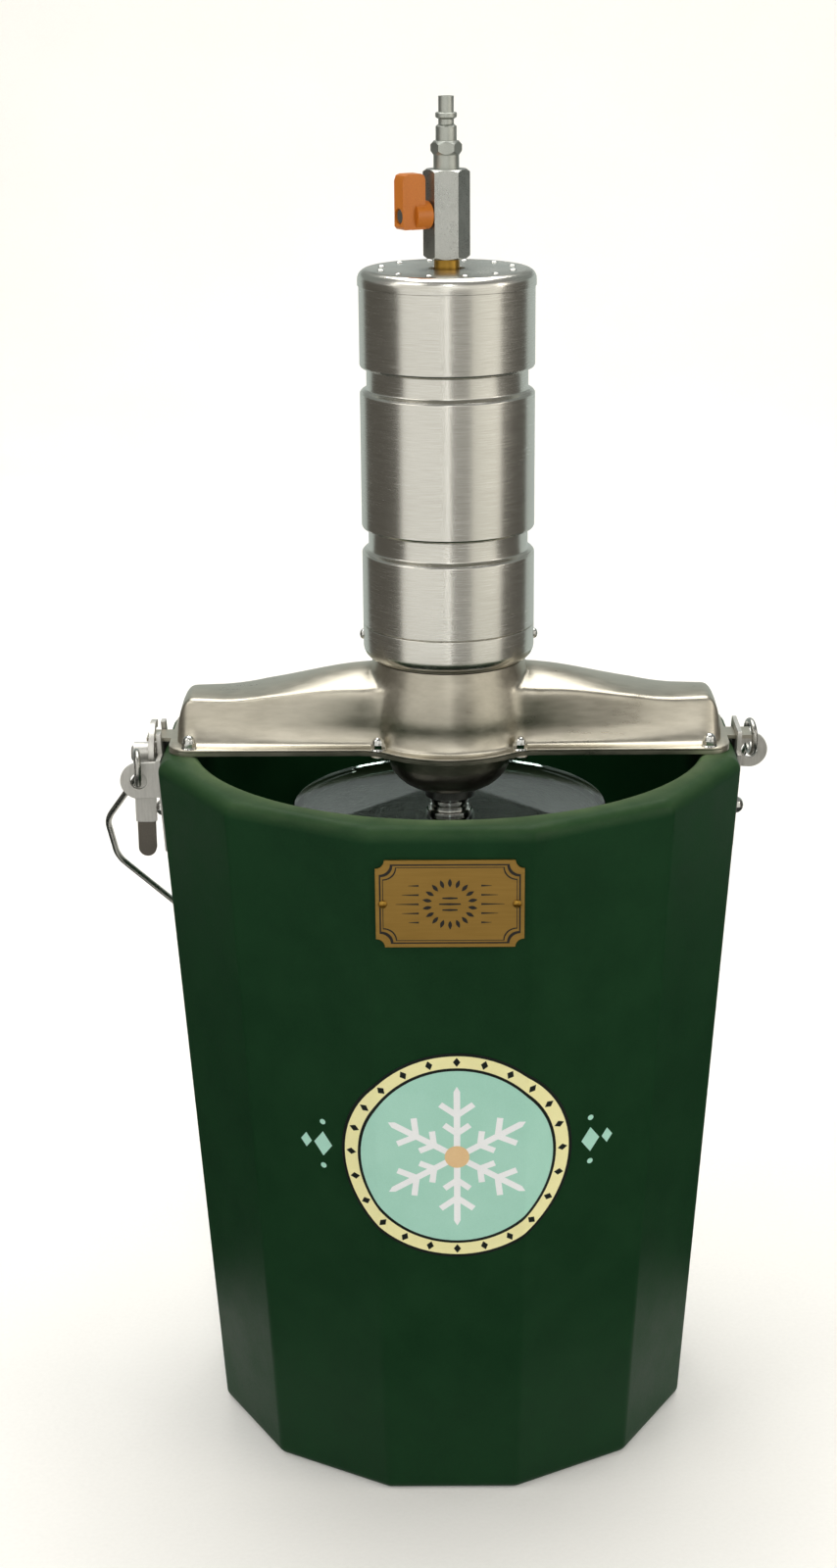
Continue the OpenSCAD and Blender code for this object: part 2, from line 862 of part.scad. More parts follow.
// Flat plate under the gear frame, with a tongue at each end
module bottom_plate() {
    color("#a4a6a4")
        translate([0, 0, tub_h])
            difference() {
                union() {
                    linear_extrude(plate_t)
                        flange_outline();
                    for (x = [-tongue_half, flange_half - 20])
                        translate([x, -8, 0])
                            cube([tongue_half - flange_half + 20, 16, plate_t]);
                }
                translate([0, 0, -1])
                    cylinder(r = 17.5, h = 9);
                nut_spots()
                    translate([0, 0, -1])
                        cylinder(r = 2.5 + fit, h = 9);
            }
}

// Bolts up through the flange, the four in the middle with heads under the plate
module frame_bolts() {
    color("#8d8f8c")
        for (i = [0, 1])
            for (x = [-1, 1])
                for (y = [-1, 1])
                    translate([x * nut_pos[i][0], y * nut_pos[i][1], tub_h]) {
                        translate([0, 0, -i])
                            cylinder(r = 2.5, h = plate_t + sheet_t + 4.4 + i);
                        if (i == 1)
                            translate([0, 0, -2.2])
                                cylinder(r = 4.2, h = 2.2);
                    }
}

// Domed nuts on the flange bolts
module cap_nuts() {
    color("#d8dad8")
        nut_spots()
            translate([0, 0, shell_z + sheet_t])
                difference() {
                    union() {
                        cylinder(r = 3.9, h = 3.2, $fn = 6);
                        translate([0, 0, 3.1])
                            rotate_extrude()
                                polygon(concat([[0, 0]], [for (a = [0 : 15 : 90])
                                    [3.4 * cos(a), 4 * sin(a)]]));
                    }
                    translate([0, 0, -1])
                        cylinder(r = 2.5 + fit, h = 5.6);
                }
}

// Domed cup that carries the can's drive hub
module gear_cup() {
    drop = tub_h - cup_low;
    color("#a9aba9")
        translate([0, 0, tub_h])
            rotate_extrude()
                polygon([[16.6, 0], [33, 0], [33, -drop * 0.45], [32.4, -drop * 0.57],
                    [31, -drop * 0.68], [28.6, -drop * 0.79], [25.6, -drop * 0.89],
                    [22.4, -drop * 0.96], [18.6, -drop], [13.9, -drop], [13.9, 1.5 - drop],
                    [16.6, 1.5 - drop]]);
}

// Bronze bush in the domed cup
module hub_bush() {
    color("#b08447")
        translate([0, 0, cup_low + 1.6])
            tube(16.5, drive_hub_r + run_gap, tub_h - cup_low - 5.4);
}

// Gear train under the motor

// Internal gear and hub that turn the can
module can_gear() {
    rim = ring_r + 5;
    color("#7d807e")
        difference() {
            union() {
                translate([0, 0, drive_z])
                    cylinder(r = rim, h = drive_top - drive_z);
                translate([0, 0, lid_z + 9.6])
                    cylinder(r = drive_hub_r, h = drive_z - lid_z - 9);
            }
            translate([0, 0, drive_z + 3])
                ring_cut(20);
            translate([0, 0, lid_z])
                cylinder(r = drive_bore, h = 80);
            translate([0, 0, lid_z + 9])
                linear_extrude(9.4)
                    circle((9 + 0.2) / cos(30), $fn = 6);
        }
}

// Gear that the dasher's drive shaft turns
module dasher_gear() {
    color("#8f7f52")
        translate([0, 0, drive_z + 3.8])
            spur(sun_z, gear_face_3, shaft_r + 0.02);
}

// Fixed spider that carries the three reversing gears
module idler_spider() {
    top = collar_z - sheet_t - 0.1;
    color("#8b8d8b") {
        translate([0, 0, spider_z])
            linear_extrude(4)
                difference() {
                    circle(cup_r - 6);
                    circle(9.5);
                }
        for (i = [0 : 2])
            rotate([0, 0, 120 * i])
                translate([planet_at, 0, drive_z + 3.6])
                    cylinder(r = planet_pin_r, h = spider_z - drive_z - 3.5);
        for (a = [90, 210, 330])
            rotate([0, 0, a])
                translate([tie_at, 0, spider_z + 3])
                    cylinder(r = 3, h = top - spider_z - 4);
        translate([0, 0, top - 3])
            linear_extrude(3)
                difference() {
                    circle(collar_r - sheet_t - 1);
                    circle(28);
                    for (a = [30, 150, 270])
                        rotate([0, 0, a])
                            translate([tie_at, 0])
                                circle(tie_r + fit);
                }
    }
}

// One planet-sized gear at place i of a set
module planet_gear(i, z, h) {
    rotate([0, 0, 120 * i])
        translate([planet_at, 0, z])
            spur(planet_z, h, planet_pin_r + run_gap);
}

module idler_1() {
    color("#a08c58")
        planet_gear(0, drive_z + 3.8, gear_face_3);
}

module idler_2() {
    color("#a08c58")
        planet_gear(1, drive_z + 3.8, gear_face_3);
}

module idler_3() {
    color("#a08c58")
        planet_gear(2, drive_z + 3.8, gear_face_3);
}

// Drive shaft with a square socket for the dasher
module output_shaft() {
    low = lid_z + 19;
    step = drive_z + 3.4;
    hole = stem_d * 0.7 + 0.2;
    color("#9b9d9b")
        difference() {
            union() {
                translate([0, 0, low])
                    cylinder(r = drive_bore - 0.4, h = step - low);
                translate([0, 0, step - 1])
                    cylinder(r = shaft_r, h = carrier_2 + 4 - step + 1);
            }
            translate([-hole / 2, -hole / 2, low - 1])
                cube([hole, hole, 21]);
        }
}

// Carrier plate with three planet pins
module carrier(h) {
    cylinder(r = carrier_r, h = 4);
    for (i = [0 : 2])
        rotate([0, 0, 120 * i])
            translate([planet_at, 0, 3])
                cylinder(r = planet_pin_r, h = h - 3);
}

// Slow carrier, fixed on the drive shaft
module second_carrier() {
    color("#7f8280")
        translate([0, 0, carrier_2])
            difference() {
                carrier(4.8 + face + 0.6);
                translate([0, 0, -1])
                    cylinder(r = shaft_r + 0.02, h = 6);
            }
}

module second_planet_1() {
    color("#a7a9a6")
        planet_gear(0, stage_2, face);
}

module second_planet_2() {
    color("#a7a9a6")
        planet_gear(1, stage_2, face);
}

module second_planet_3() {
    color("#a7a9a6")
        planet_gear(2, stage_2, face);
}

// Fast carrier with the slow stage's sun gear on its underside
module first_carrier() {
    color("#8b8e8c") {
        translate([0, 0, carrier_1])
            carrier(4.8 + face + 0.6);
        translate([0, 0, stage_2 + 0.2])
            spur(sun_z, carrier_1 - stage_2, 0);
    }
}

module first_planet_1() {
    color("#a7a9a6")
        planet_gear(0, stage_1, face);
}

module first_planet_2() {
    color("#a7a9a6")
        planet_gear(1, stage_1, face);
}

module first_planet_3() {
    color("#a7a9a6")
        planet_gear(2, stage_1, face);
}

// Holes for the three long bolts that clamp the drive
module tie_holes() {
    for (a = [30, 150, 270])
        rotate([0, 0, a])
            translate([tie_at, 0, collar_z - 20])
                cylinder(r = tie_r + fit, h = 400);
}

// Fixed ring gear shared by both stages
module ring_gear() {
    color("#6f7270")
        difference() {
            translate([0, 0, gearbox_z])
                cylinder(r = stack_r, h = groove_1 - gearbox_z);
            translate([0, 0, gearbox_z - 1])
                ring_cut(groove_1 - gearbox_z + 2);
            tie_holes();
        }
}

// Bearing plate at the foot of the gearbox
module gearbox_base() {
    color("#858886")
        difference() {
            translate([0, 0, collar_z + 3])
                cylinder(r = stack_r, h = 7);
            translate([0, 0, collar_z + 2])
                cylinder(r = 11 + 0.02, h = 9);
            tie_holes();
        }
}

// Bearings of the drive shaft and the rotor
module ball_bearings() {
    color("#c9cbc9") {
        translate([0, 0, collar_z + 3])
            tube(11, shaft_r + run_gap, 7);
        translate([0, 0, groove_1 + 3])
            tube(11, 5 + run_gap, 8);
        translate([0, 0, groove_2 + 0.6])
            tube(11, 5 + run_gap, 8);
    }
}

// Motor

// Lower end plate, held by the lower groove
module front_plate() {
    color("#9ea09e")
        difference() {
            translate([0, 0, groove_1])
                cylinder(r = bulkhead_r, h = groove_h);
            translate([0, 0, groove_1 + 3])
                cylinder(r = 11.02, h = 30);
            translate([0, 0, groove_1 - 1])
                cylinder(r = 8, h = 30);
            tie_holes();
        }
}

// Cylinder with an off-centre bore and exhaust ports
module motor_cylinder() {
    color("#8c8f8d")
        difference() {
            translate([0, 0, band_2])
                cylinder(r = stack_r, h = groove_2 - band_2);
            translate([0, rotor_off, band_2 - 1])
                cylinder(r = rotor_r + rotor_off + 0.3, h = groove_2 - band_2 + 2);
            for (k = [1 : 3])
                translate([0, 0, band_2 + (groove_2 - band_2) * k / 4])
                    rotate([-90, 0, 0])
                        cylinder(r = 4, h = 60);
            tie_holes();
        }
}

// Slotted rotor with the fast sun gear on its shaft
module rotor() {
    h = groove_2 - band_2 - 0.8;
    color("#b0b2b0") {
        difference() {
            translate([0, 0, band_2 + 0.4])
                cylinder(r = rotor_r, h = h);
            for (a = [45 : 90 : 315])
                rotate([0, 0, a])
                    translate([8, -1.5, band_2])
                        cube([20, 3, h + 2]);
        }
        translate([0, 0, stage_1 + face - 0.5])
            cylinder(r = 5, h = groove_2 + 8 - stage_1 - face + 0.5);
        translate([0, 0, stage_1 - 0.2])
            spur(sun_z, face + 0.4, 0);
    }
}

// Sliding vanes, shown drawn in
module vanes() {
    color("#5b4a36")
        for (a = [45 : 90 : 315])
            rotate([0, 0, a])
                translate([8.4, -1.45, band_2 + 0.5])
                    cube([rotor_r - 8.6, 2.9, groove_2 - band_2 - 1]);
}

// Upper end plate with the inlet boss and its gallery
module rear_plate() {
    color("#9ea09e")
        difference() {
            union() {
                translate([0, 0, groove_2])
                    cylinder(r = bulkhead_r, h = groove_h);
                translate([0, 0, band_3 - 1])
                    cylinder(r = 12, h = 12);
            }
            translate([0, 0, groove_2 - 1])
                cylinder(r = 11.02, h = 9.7);
            translate([0, 0, band_3 + 1])
                cylinder(r = nipple_r + 0.02, h = 20);
            translate([0, 0, band_3 - 1.6])
                rotate([-90, 0, 0])
                    cylinder(r = 1.6, h = 20);
            translate([0, 0, band_3 - 1.6])
                cylinder(r = 3, h = 4);
            translate([0, 20, groove_2 - 1])
                cylinder(r = 2.4, h = groove_h - 0.6);
            tie_holes();
        }
}

// Long bolts that clamp the motor and gearbox to the frame
module tie_bolts() {
    foot = collar_z - sheet_t - 3.1;
    color("#8a8c8a")
        for (a = [30, 150, 270])
            rotate([0, 0, a])
                translate([tie_at, 0, 0]) {
                    translate([0, 0, foot - 3])
                        cylinder(r = 3.4, h = 3, $fn = 6);
                    translate([0, 0, foot - 0.1])
                        cylinder(r = tie_r, h = band_3 - 1 - foot);
                }
}

// Motor housing

// Rounded ring at the foot of the housing
module base_ring() {
    r = housing_r;
    e = 7.5;
    color("#b5b7b6")
        difference() {
            translate([0, 0, collar_z])
                rotate_extrude()
                    polygon(concat(
                        [[30, 0]],
                        [for (a = [0 : 10 : 90]) [r - e + e * sin(a), e * (1 - cos(a))]],
                        [[r, base_ring_h - 0.5], [r - 0.5, base_ring_h],
                            [r - housing_t - 0.1, base_ring_h], [r - housing_t - 0.1, base_ring_h + 6],
                            [r - housing_t - 2, base_ring_h + 6], [r - housing_t - 2, 9],
                            [r - housing_t - 3.5, 5], [stack_r + 0.4, 3], [30, 3]]));
            tie_holes();
            for (a = [0, 180])
                rotate([0, 0, a])
                    translate([r - 10, 0, collar_z + 12])
                        rotate([0, 90, 0])
                            cylinder(r = 1.5 + fit, h = 20);
        }
}

// Small screws at the sides of the base ring
module base_screws() {
    color("#d0d2d0")
        for (a = [0, 180])
            rotate([0, 0, a])
                translate([housing_r + 0.05, 0, collar_z + 12])
                    rotate([0, 90, 0]) {
                        translate([0, 0, -5])
                            cylinder(r = 1.5, h = 5.1);
                        rotate_extrude()
                            polygon([[0, 0], [2.9, 0], [2.7, 1], [1.8, 1.8], [0, 2.1]]);
                    }
}

// Wall line of the housing tube, drawn in by t
function tube_line(t) =
    let (r = housing_r - t, g = groove_r - t)
    [for (z = [groove_1, groove_2])
        for (p = [[r, -0.9], [r - 0.7, 0.1], [g + 0.6, 1.5], [g, 3.2], [g, groove_h - 2],
            [g + 0.5, groove_h - 0.9], [r - 0.5, groove_h - 0.3], [r, groove_h + 0.4]])
            [p[0], z + p[1]]];

// Housing tube with its two rolled grooves
module housing_tube() {
    out = tube_line(0);
    in = tube_line(housing_t);
    n = len(in);
    color("#b5b7b6")
        rotate_extrude()
            polygon(concat(
                [[housing_r - 0.5, base_top + fit], [housing_r, base_top + 0.5]],
                out,
                [[housing_r, cap_z], [housing_r - housing_t, cap_z]],
                [for (i = [1 : n]) in[n - i]],
                [[housing_r - housing_t, base_top + fit]]));
}

// Felt ring that quiets the exhaust
module muffler() {
    color("#6b6a66")
        translate([0, 0, band_3 + 14])
            tube(housing_r - housing_t - 0.6, nipple_r + 0.4, upper_band_h - 22);
}

// Vented cap of the housing
module housing_cap() {
    r = housing_r + 0.6;
    e = 3.2;
    color("#bcbebd")
        difference() {
            translate([0, 0, cap_z])
                rotate_extrude()
                    polygon(concat(
                        [[9.6, cap_h], [9.6, cap_h - 3]],
                        [[r - 7, cap_h - 3], [housing_r - housing_t - 2, -1],
                            [housing_r - housing_t - 2, -6], [housing_r - housing_t - 0.1, -6],
                            [housing_r - housing_t - 0.1, fit], [r, fit]],
                        [for (a = [0 : 15 : 90])
                            [r - e + e * cos(a), cap_h - e + e * sin(a)]]));
            for (i = [0 : vent_count - 1])
                rotate([0, 0, 360 / vent_count * (i + 0.5)])
                    translate([housing_r - 10.8, 0, cap_z - 1])
                        cylinder(r = vent_d / 2, h = cap_h + 2);
        }
}

// Air inlet

// Brass nipple from the motor up to the valve
module inlet_nipple() {
    low = band_3 + 1.1;
    color("#b98f45")
        translate([0, 0, low])
            tube(nipple_r, 4, valve_z + 9.5 - low);
}

// Turns its child so that +X points along the valve's stem
module on_stem() {
    translate([0, 0, valve_mid])
        rotate([0, 0, stem_turn])
            children();
}

// Hexagonal body of the ball valve
module valve_body() {
    r = valve_w / 2 / cos(30);
    c = r - valve_w / 2 + 0.2;
    color("#8f9190")
        difference() {
            translate([0, 0, valve_z])
                intersection() {
                    linear_extrude(valve_len)
                        circle(r, $fn = 6);
                    rotate_extrude()
                        polygon([[0, 0], [valve_w / 2 - 0.2, 0], [r + 0.1, c * 0.8],
                            [r + 0.1, valve_len - c * 0.8], [valve_w / 2 - 0.2, valve_len],
                            [0, valve_len]]);
                }
            translate([0, 0, valve_z - 1])
                cylinder(r = nipple_r + 0.02, h = 11);
            translate([0, 0, valve_top - 10])
                cylinder(r = 6.42, h = 11);
            translate([0, 0, valve_z])
                cylinder(r = 4.6, h = valve_len);
            translate([0, 0, valve_mid - 8.3])
                cylinder(r = 8.2, h = 16.6);
            on_stem()
                rotate([0, 90, 0])
                    cylinder(r = 3 + run_gap, h = 30);
        }
}

// Seat rings on both sides of the ball
module valve_seats() {
    color("#ecece6")
        translate([0, 0, valve_mid])
            difference() {
                union() {
                    translate([0, 0, 5.4])
                        tube(8.15, 4.65, 2.85);
                    translate([0, 0, -8.25])
                        tube(8.15, 4.65, 2.85);
                }
                sphere(7.95);
            }
}

// Bored ball of the valve
module valve_ball() {
    color("#dcdedc")
        translate([0, 0, valve_mid])
            difference() {
                sphere(7.9);
                cylinder(r = 4.4, h = 20, center = true);
                rotate([0, 0, stem_turn])
                    translate([5.6, 0, 0])
                        rotate([0, 90, 0])
                            cylinder(r = 2.52, h = 10);
            }
}

// Stem that turns the ball
module valve_stem() {
    color("#b9bbb9")
        on_stem()
            rotate([0, 90, 0])
                difference() {
                    union() {
                        translate([0, 0, 5.7])
                            cylinder(r = 2.5, h = 4);
                        translate([0, 0, 8.4])
                            cylinder(r = 3, h = 15);
                    }
                    translate([0, 0, 16])
                        cylinder(r = 1.52, h = 10);
                }
}

// Small flag handle of the valve
module valve_handle() {
    near = valve_w / 2 + 1;
    color("#e8641b")
        on_stem()
            difference() {
                union() {
                    translate([near, 0, 0])
                        rotate([0, 90, 0])
                            cylinder(r = 7.2, h = 9);
                    translate([0, 4.6, 0])
                        rotate([90, 0, 0])
                            linear_extrude(9.2)
                                polygon([[near + 3.4, -6.6], [near + 15.4, -6.6], [near + 16.6, -5.2],
                                    [near + 16.6, 17.5], [near + 15.6, 20.2], [near + 13.4, 21],
                                    [near + 5.8, 21], [near + 4, 20], [near + 3.4, 18]]);
                }
                rotate([0, 90, 0])
                    cylinder(r = 3.02, h = 23.5);
                rotate([0, 90, 0])
                    cylinder(r = 1.6, h = 40);
                translate([near + 14.4, 0, 0])
                    rotate([0, 90, 0])
                        cylinder(r = 4, h = 10);
            }
}

// Screw that holds the handle on its stem
module handle_screw() {
    near = valve_w / 2 + 1;
    color("#c5c7c5")
        on_stem()
            rotate([0, 90, 0]) {
                translate([0, 0, 17])
                    cylinder(r = 1.5, h = near - 2);
                translate([0, 0, near + 14.45])
                    cylinder(r = 3.4, h = 1.4);
            }
}

// Plug that takes the air hose's coupler
module air_plug() {
    z = valve_top;
    color("#c4c6c4")
        difference() {
            union() {
                translate([0, 0, z - 9.5])
                    cylinder(r = 6.4, h = 9.6);
                translate([0, 0, z])
                    cylinder(r = 6.6, h = 7.1);
                translate([0, 0, z + 7])
                    linear_extrude(7)
                        circle(7 / cos(30), $fn = 6);
                rotate_extrude()
                    polygon([[0, z + 13], [5.4, z + 13], [5.4, z + 21], [4, z + 22.2], [4, z + 24.6],
                        [5.5, z + 25.6], [5.5, nose_z - 0.4], [5, nose_z], [nose_d / 2, nose_z],
                        [nose_d / 2, nose_z + nose_len], [0, nose_z + nose_len]]);
            }
            translate([0, 0, z - 20])
                cylinder(r = 2.6, h = 100);
        }
}

// Nodes

tub();
plaque();
plaque_screws();
right_bracket();
left_bracket();
bracket_bolts();
latch_pivot();
latch_lever();
latch_tab();
bail();
bail_grip();
can_pivot();
can();
lid();
lid_hub();
dasher();
scrapers();
frame_shell();
bottom_plate();
frame_bolts();
cap_nuts();
gear_cup();
hub_bush();
can_gear();
dasher_gear();
idler_spider();
idler_1();
idler_2();
idler_3();
output_shaft();
second_carrier();
second_planet_1();
second_planet_2();
second_planet_3();
first_carrier();
first_planet_1();
first_planet_2();
first_planet_3();
ring_gear();
gearbox_base();
ball_bearings();
front_plate();
motor_cylinder();
rotor();
vanes();
rear_plate();
tie_bolts();
base_ring();
base_screws();
housing_tube();
muffler();
housing_cap();
inlet_nipple();
valve_body();
valve_seats();
valve_ball();
valve_stem();
valve_handle();
handle_screw();
air_plug();
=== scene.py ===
# %% [markdown]
# # An ice cream freezer with an air motor
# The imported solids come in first, in metres, as a fixed frame: they hold the sizes and the motion.
# This lesson then dresses them with finer skins and with finishes that are made of nodes only.

# %% Load the frame
import json
import math
import bmesh
import bpy
from mathutils import Matrix, Vector


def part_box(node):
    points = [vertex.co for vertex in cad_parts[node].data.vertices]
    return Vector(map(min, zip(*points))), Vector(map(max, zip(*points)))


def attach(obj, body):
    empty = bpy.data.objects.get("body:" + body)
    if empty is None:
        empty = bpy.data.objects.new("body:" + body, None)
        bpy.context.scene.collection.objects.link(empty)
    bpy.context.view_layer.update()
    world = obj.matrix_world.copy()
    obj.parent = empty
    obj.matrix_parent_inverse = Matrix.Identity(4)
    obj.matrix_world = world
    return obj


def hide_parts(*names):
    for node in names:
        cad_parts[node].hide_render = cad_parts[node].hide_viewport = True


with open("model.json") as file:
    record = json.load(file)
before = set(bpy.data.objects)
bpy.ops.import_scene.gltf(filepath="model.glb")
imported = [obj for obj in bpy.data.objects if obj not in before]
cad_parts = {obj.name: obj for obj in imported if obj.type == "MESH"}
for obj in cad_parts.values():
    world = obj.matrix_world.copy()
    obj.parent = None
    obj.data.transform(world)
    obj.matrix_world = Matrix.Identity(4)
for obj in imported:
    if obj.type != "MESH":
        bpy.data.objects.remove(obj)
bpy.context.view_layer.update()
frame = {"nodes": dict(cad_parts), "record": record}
MM = 0.001
slot_of = {part["node"]: part["material_slot"] for part in frame["record"]["subparts"]}
body_of = {node: body for body, nodes in frame["record"]["behaviour"]["bodies"].items() for node in nodes}

# %% [markdown]
# ## Objects
# Two steps come back all through the lesson. One shows data as an object in the scene. The other lets the
# modifiers of an object work and reads the result back as a plain mesh.

# %% Show and read back
def shown(name, data):
    made = bpy.data.objects.new(name, data)
    bpy.context.scene.collection.objects.link(made)
    return made


def worked(made):
    bpy.context.view_layer.update()
    return bpy.data.meshes.new_from_object(made.evaluated_get(bpy.context.evaluated_depsgraph_get()))


# %% [markdown]
# ## Camera
# The camera was fitted to the photograph: rim corners, foot, motor grooves and the tip of the hose plug
# all fall within two pixels. It stands 1.3 m in front, 0.8 m up, and looks 18 degrees down.
# The shift keeps the object where the picture has it.

# %% Set the camera
FOCAL, HEIGHT, SENSOR = 2602.6, 1600, 36
PITCH, ROLL, SHIFT = 18.43, -0.005, (-31.57, 11.4)
view_data = bpy.data.cameras.new("camera")
view_data.lens = FOCAL / HEIGHT * SENSOR
view_data.sensor_width = SENSOR
view_data.shift_x, view_data.shift_y = SHIFT[0] / HEIGHT, SHIFT[1] / HEIGHT
view_data.clip_start = 0.05
camera = shown("camera", view_data)
camera.location = (0, -1.3373, 0.80325)
aim = Matrix.Rotation(math.radians(90 - PITCH), 4, "X") @ Matrix.Rotation(ROLL, 4, "Z")
camera.rotation_euler = aim.to_euler()
bpy.context.scene.camera = camera
print("lens:", round(view_data.lens, 2), "mm")

# %% [markdown]
# ## Tools for node trees
# Shaders and Geometry Nodes are both trees of nodes, so one small tool serves for both: it adds a node,
# sets its options, and fills each input with a value or a link.

# %% Add nodes to a tree
def put(tree, kind, inputs=None, **settings):
    node = tree.nodes.new(kind)
    for name, value in settings.items():
        setattr(node, name, value)
    for key, value in (inputs or {}).items():
        if isinstance(value, bpy.types.NodeSocket):
            tree.links.new(value, node.inputs[key])
        else:
            node.inputs[key].default_value = value
    return node


def reckon(tree, a, b, operation="ADD"):
    return put(tree, "ShaderNodeMath", {0: a, 1: b}, operation=operation).outputs["Value"]


def linear(code):
    parts = [int(code[i:i + 2], 16) / 255 for i in (1, 3, 5)]
    return [p / 12.92 if p <= 0.04045 else ((p + 0.055) / 1.055) ** 2.4 for p in parts] + [1.0]


print("mid grey is", round(linear("#808080")[0], 3), "in linear light")

# %% [markdown]
# ## Finishes
# A real surface is never one flat colour. Each finish mixes a broad cloudy tone with a fine grain. The same
# grain drives the roughness and a little relief, so light breaks on it. Stretching the grain along one
# direction gives the lines that a brush or a lathe leaves. All of it reads Object coordinates, in metres.

# %% Make a finish from two grains
def grain(tree, scale, stretch=(1, 1, 1), detail=3.0):
    spot = put(tree, "ShaderNodeTexCoord")
    laid = put(tree, "ShaderNodeMapping", {"Vector": spot.outputs["Object"], "Scale": stretch})
    made = put(tree, "ShaderNodeTexNoise", {"Vector": laid.outputs["Vector"], "Scale": scale,
                                            "Detail": detail, "Roughness": 0.6})
    return made.outputs["Fac"]


def spread(tree, value, low, high, start=0.32, end=0.68):
    made = put(tree, "ShaderNodeMapRange", {"Value": value, "From Min": start, "From Max": end,
                                            "To Min": low, "To Max": high})
    return made.outputs["Result"]


def tones(tree, value, dark, light):
    ramp = put(tree, "ShaderNodeValToRGB", {"Fac": value})
    ramp.color_ramp.elements[0].color = linear(dark)
    ramp.color_ramp.elements[1].color = linear(light)
    return ramp.outputs["Color"]


finish = {}


def make_finish(name, dark, light, rough, metal=0.0, cloud=30.0, fine=1800.0, stretch=(1, 1, 1),
                share=0.5, relief=0.1, depth=0.15, **fixed):
    made = bpy.data.materials.new(name)
    made.use_nodes = True
    tree = made.node_tree
    tree.nodes.clear()
    broad = spread(tree, grain(tree, cloud, detail=4.0), 0.0, 1.0 - share)
    small = grain(tree, fine, stretch)
    mixed = reckon(tree, broad, spread(tree, small, 0.0, share))
    bump = put(tree, "ShaderNodeBump", {"Height": small, "Strength": relief, "Distance": depth * MM})
    shader = put(tree, "ShaderNodeBsdfPrincipled", {
        "Base Color": tones(tree, mixed, dark, light), "Metallic": metal,
        "Roughness": spread(tree, mixed, rough[0], rough[1], 0.1, 0.9),
        "Normal": bump.outputs["Normal"]})
    for socket, value in fixed.items():
        shader.inputs[socket.replace("_", " ")].default_value = value
    put(tree, "ShaderNodeOutputMaterial", {"Surface": shader.outputs["BSDF"]})
    finish[name] = made


# %% [markdown]
# Plastics first: the tub is a satin moulding with a fine pebble, the handle a glossier one, the grip and
# the finger tab are soft and dull, and the lid is clear.

# %% Plastics, rubber and felt
make_finish("green_plastic", "#0e3018", "#13391d", (0.36, 0.5), fine=900, share=0.4, relief=0.14, depth=0.2,
            Specular_IOR_Level=0.08)
make_finish("orange_plastic", "#b8651a", "#ca7720", (0.3, 0.42), fine=1500, relief=0.08, Specular_IOR_Level=0.3)
make_finish("black_plastic", "#141513", "#232421", (0.45, 0.6), fine=1200, relief=0.2)
make_finish("tab_rubber", "#4b453c", "#5d574c", (0.5, 0.66), fine=1500, relief=0.15)
make_finish("white_plastic", "#cfccc0", "#e2dfd5", (0.4, 0.55), fine=1500, relief=0.1)
make_finish("clear_plastic", "#6f7d78", "#84928d", (0.012, 0.03), cloud=20, fine=600, relief=0.02,
            Transmission_Weight=1.0, IOR=1.45)
make_finish("vane_plastic", "#3a2a1d", "#513b28", (0.45, 0.6), stretch=(1, 1, 0.1), share=0.7)
make_finish("felt", "#4b4b49", "#6d6c69", (0.85, 1.0), fine=2500, share=0.8, relief=0.6, depth=0.5)
print("soft finishes:", len(finish))

# %% [markdown]
# The mouth of a tub is where the can and the ice scoop rub. The paler, dusty tone stands partly for that wear and
# partly for a painted highlight where light from above falls on the rim. Height lets it in on the top of the rim alone,
# distance from the axis makes it strongest at the inner edge, and a coarse grain breaks it up. It mixes into the tub's
# colour just before the shader.

# %% Rubbed rim with painted highlight
SCUFF_AND_SHEEN_Z, SCUFF_AND_SHEEN_R, SCUFF_AND_SHEEN_SHARE = (0.384, 0.3925), (0.1385, 0.15), (0.9, 0.34)
tree = finish["green_plastic"].node_tree
shader = [n for n in tree.nodes if n.bl_idname == "ShaderNodeBsdfPrincipled"][0]
spot = put(tree, "ShaderNodeTexCoord").outputs["Object"]
level = put(tree, "ShaderNodeVectorMath", {0: spot, 1: (1, 1, 0)}, operation="MULTIPLY").outputs["Vector"]
radius = put(tree, "ShaderNodeVectorMath", {0: level}, operation="LENGTH").outputs["Value"]
height = put(tree, "ShaderNodeSeparateXYZ", {"Vector": spot}).outputs["Z"]
place = reckon(tree, spread(tree, height, 0.0, 1.0, *SCUFF_AND_SHEEN_Z), spread(tree, radius, *SCUFF_AND_SHEEN_SHARE, *SCUFF_AND_SHEEN_R), "MULTIPLY")
scuff_and_sheen_mask = reckon(tree, place, spread(tree, grain(tree, 45, (1, 1, 3)), 0.3, 0.6), "MULTIPLY")
# The pale tone is partly real scuffing and partly a painted highlight of the light from above on the rim's top.
scuffed_and_sheened = put(tree, "ShaderNodeMixRGB", {"Fac": scuff_and_sheen_mask, "Color2": linear("#748a5c"),
                                      "Color1": shader.inputs["Base Color"].links[0].from_socket})
tree.links.new(scuffed_and_sheened.outputs["Color"], shader.inputs["Base Color"])
print("rim wear starts", round((SCUFF_AND_SHEEN_Z[1] - SCUFF_AND_SHEEN_Z[0]) / MM, 1), "mm below the top")

# %% [markdown]
# Metals come next. Turned pieces show lines around the axis, so their grain is fine along Z and long
# around it. Rolled sheet and wire show long streaks, and cast or sintered pieces show an even speckle.

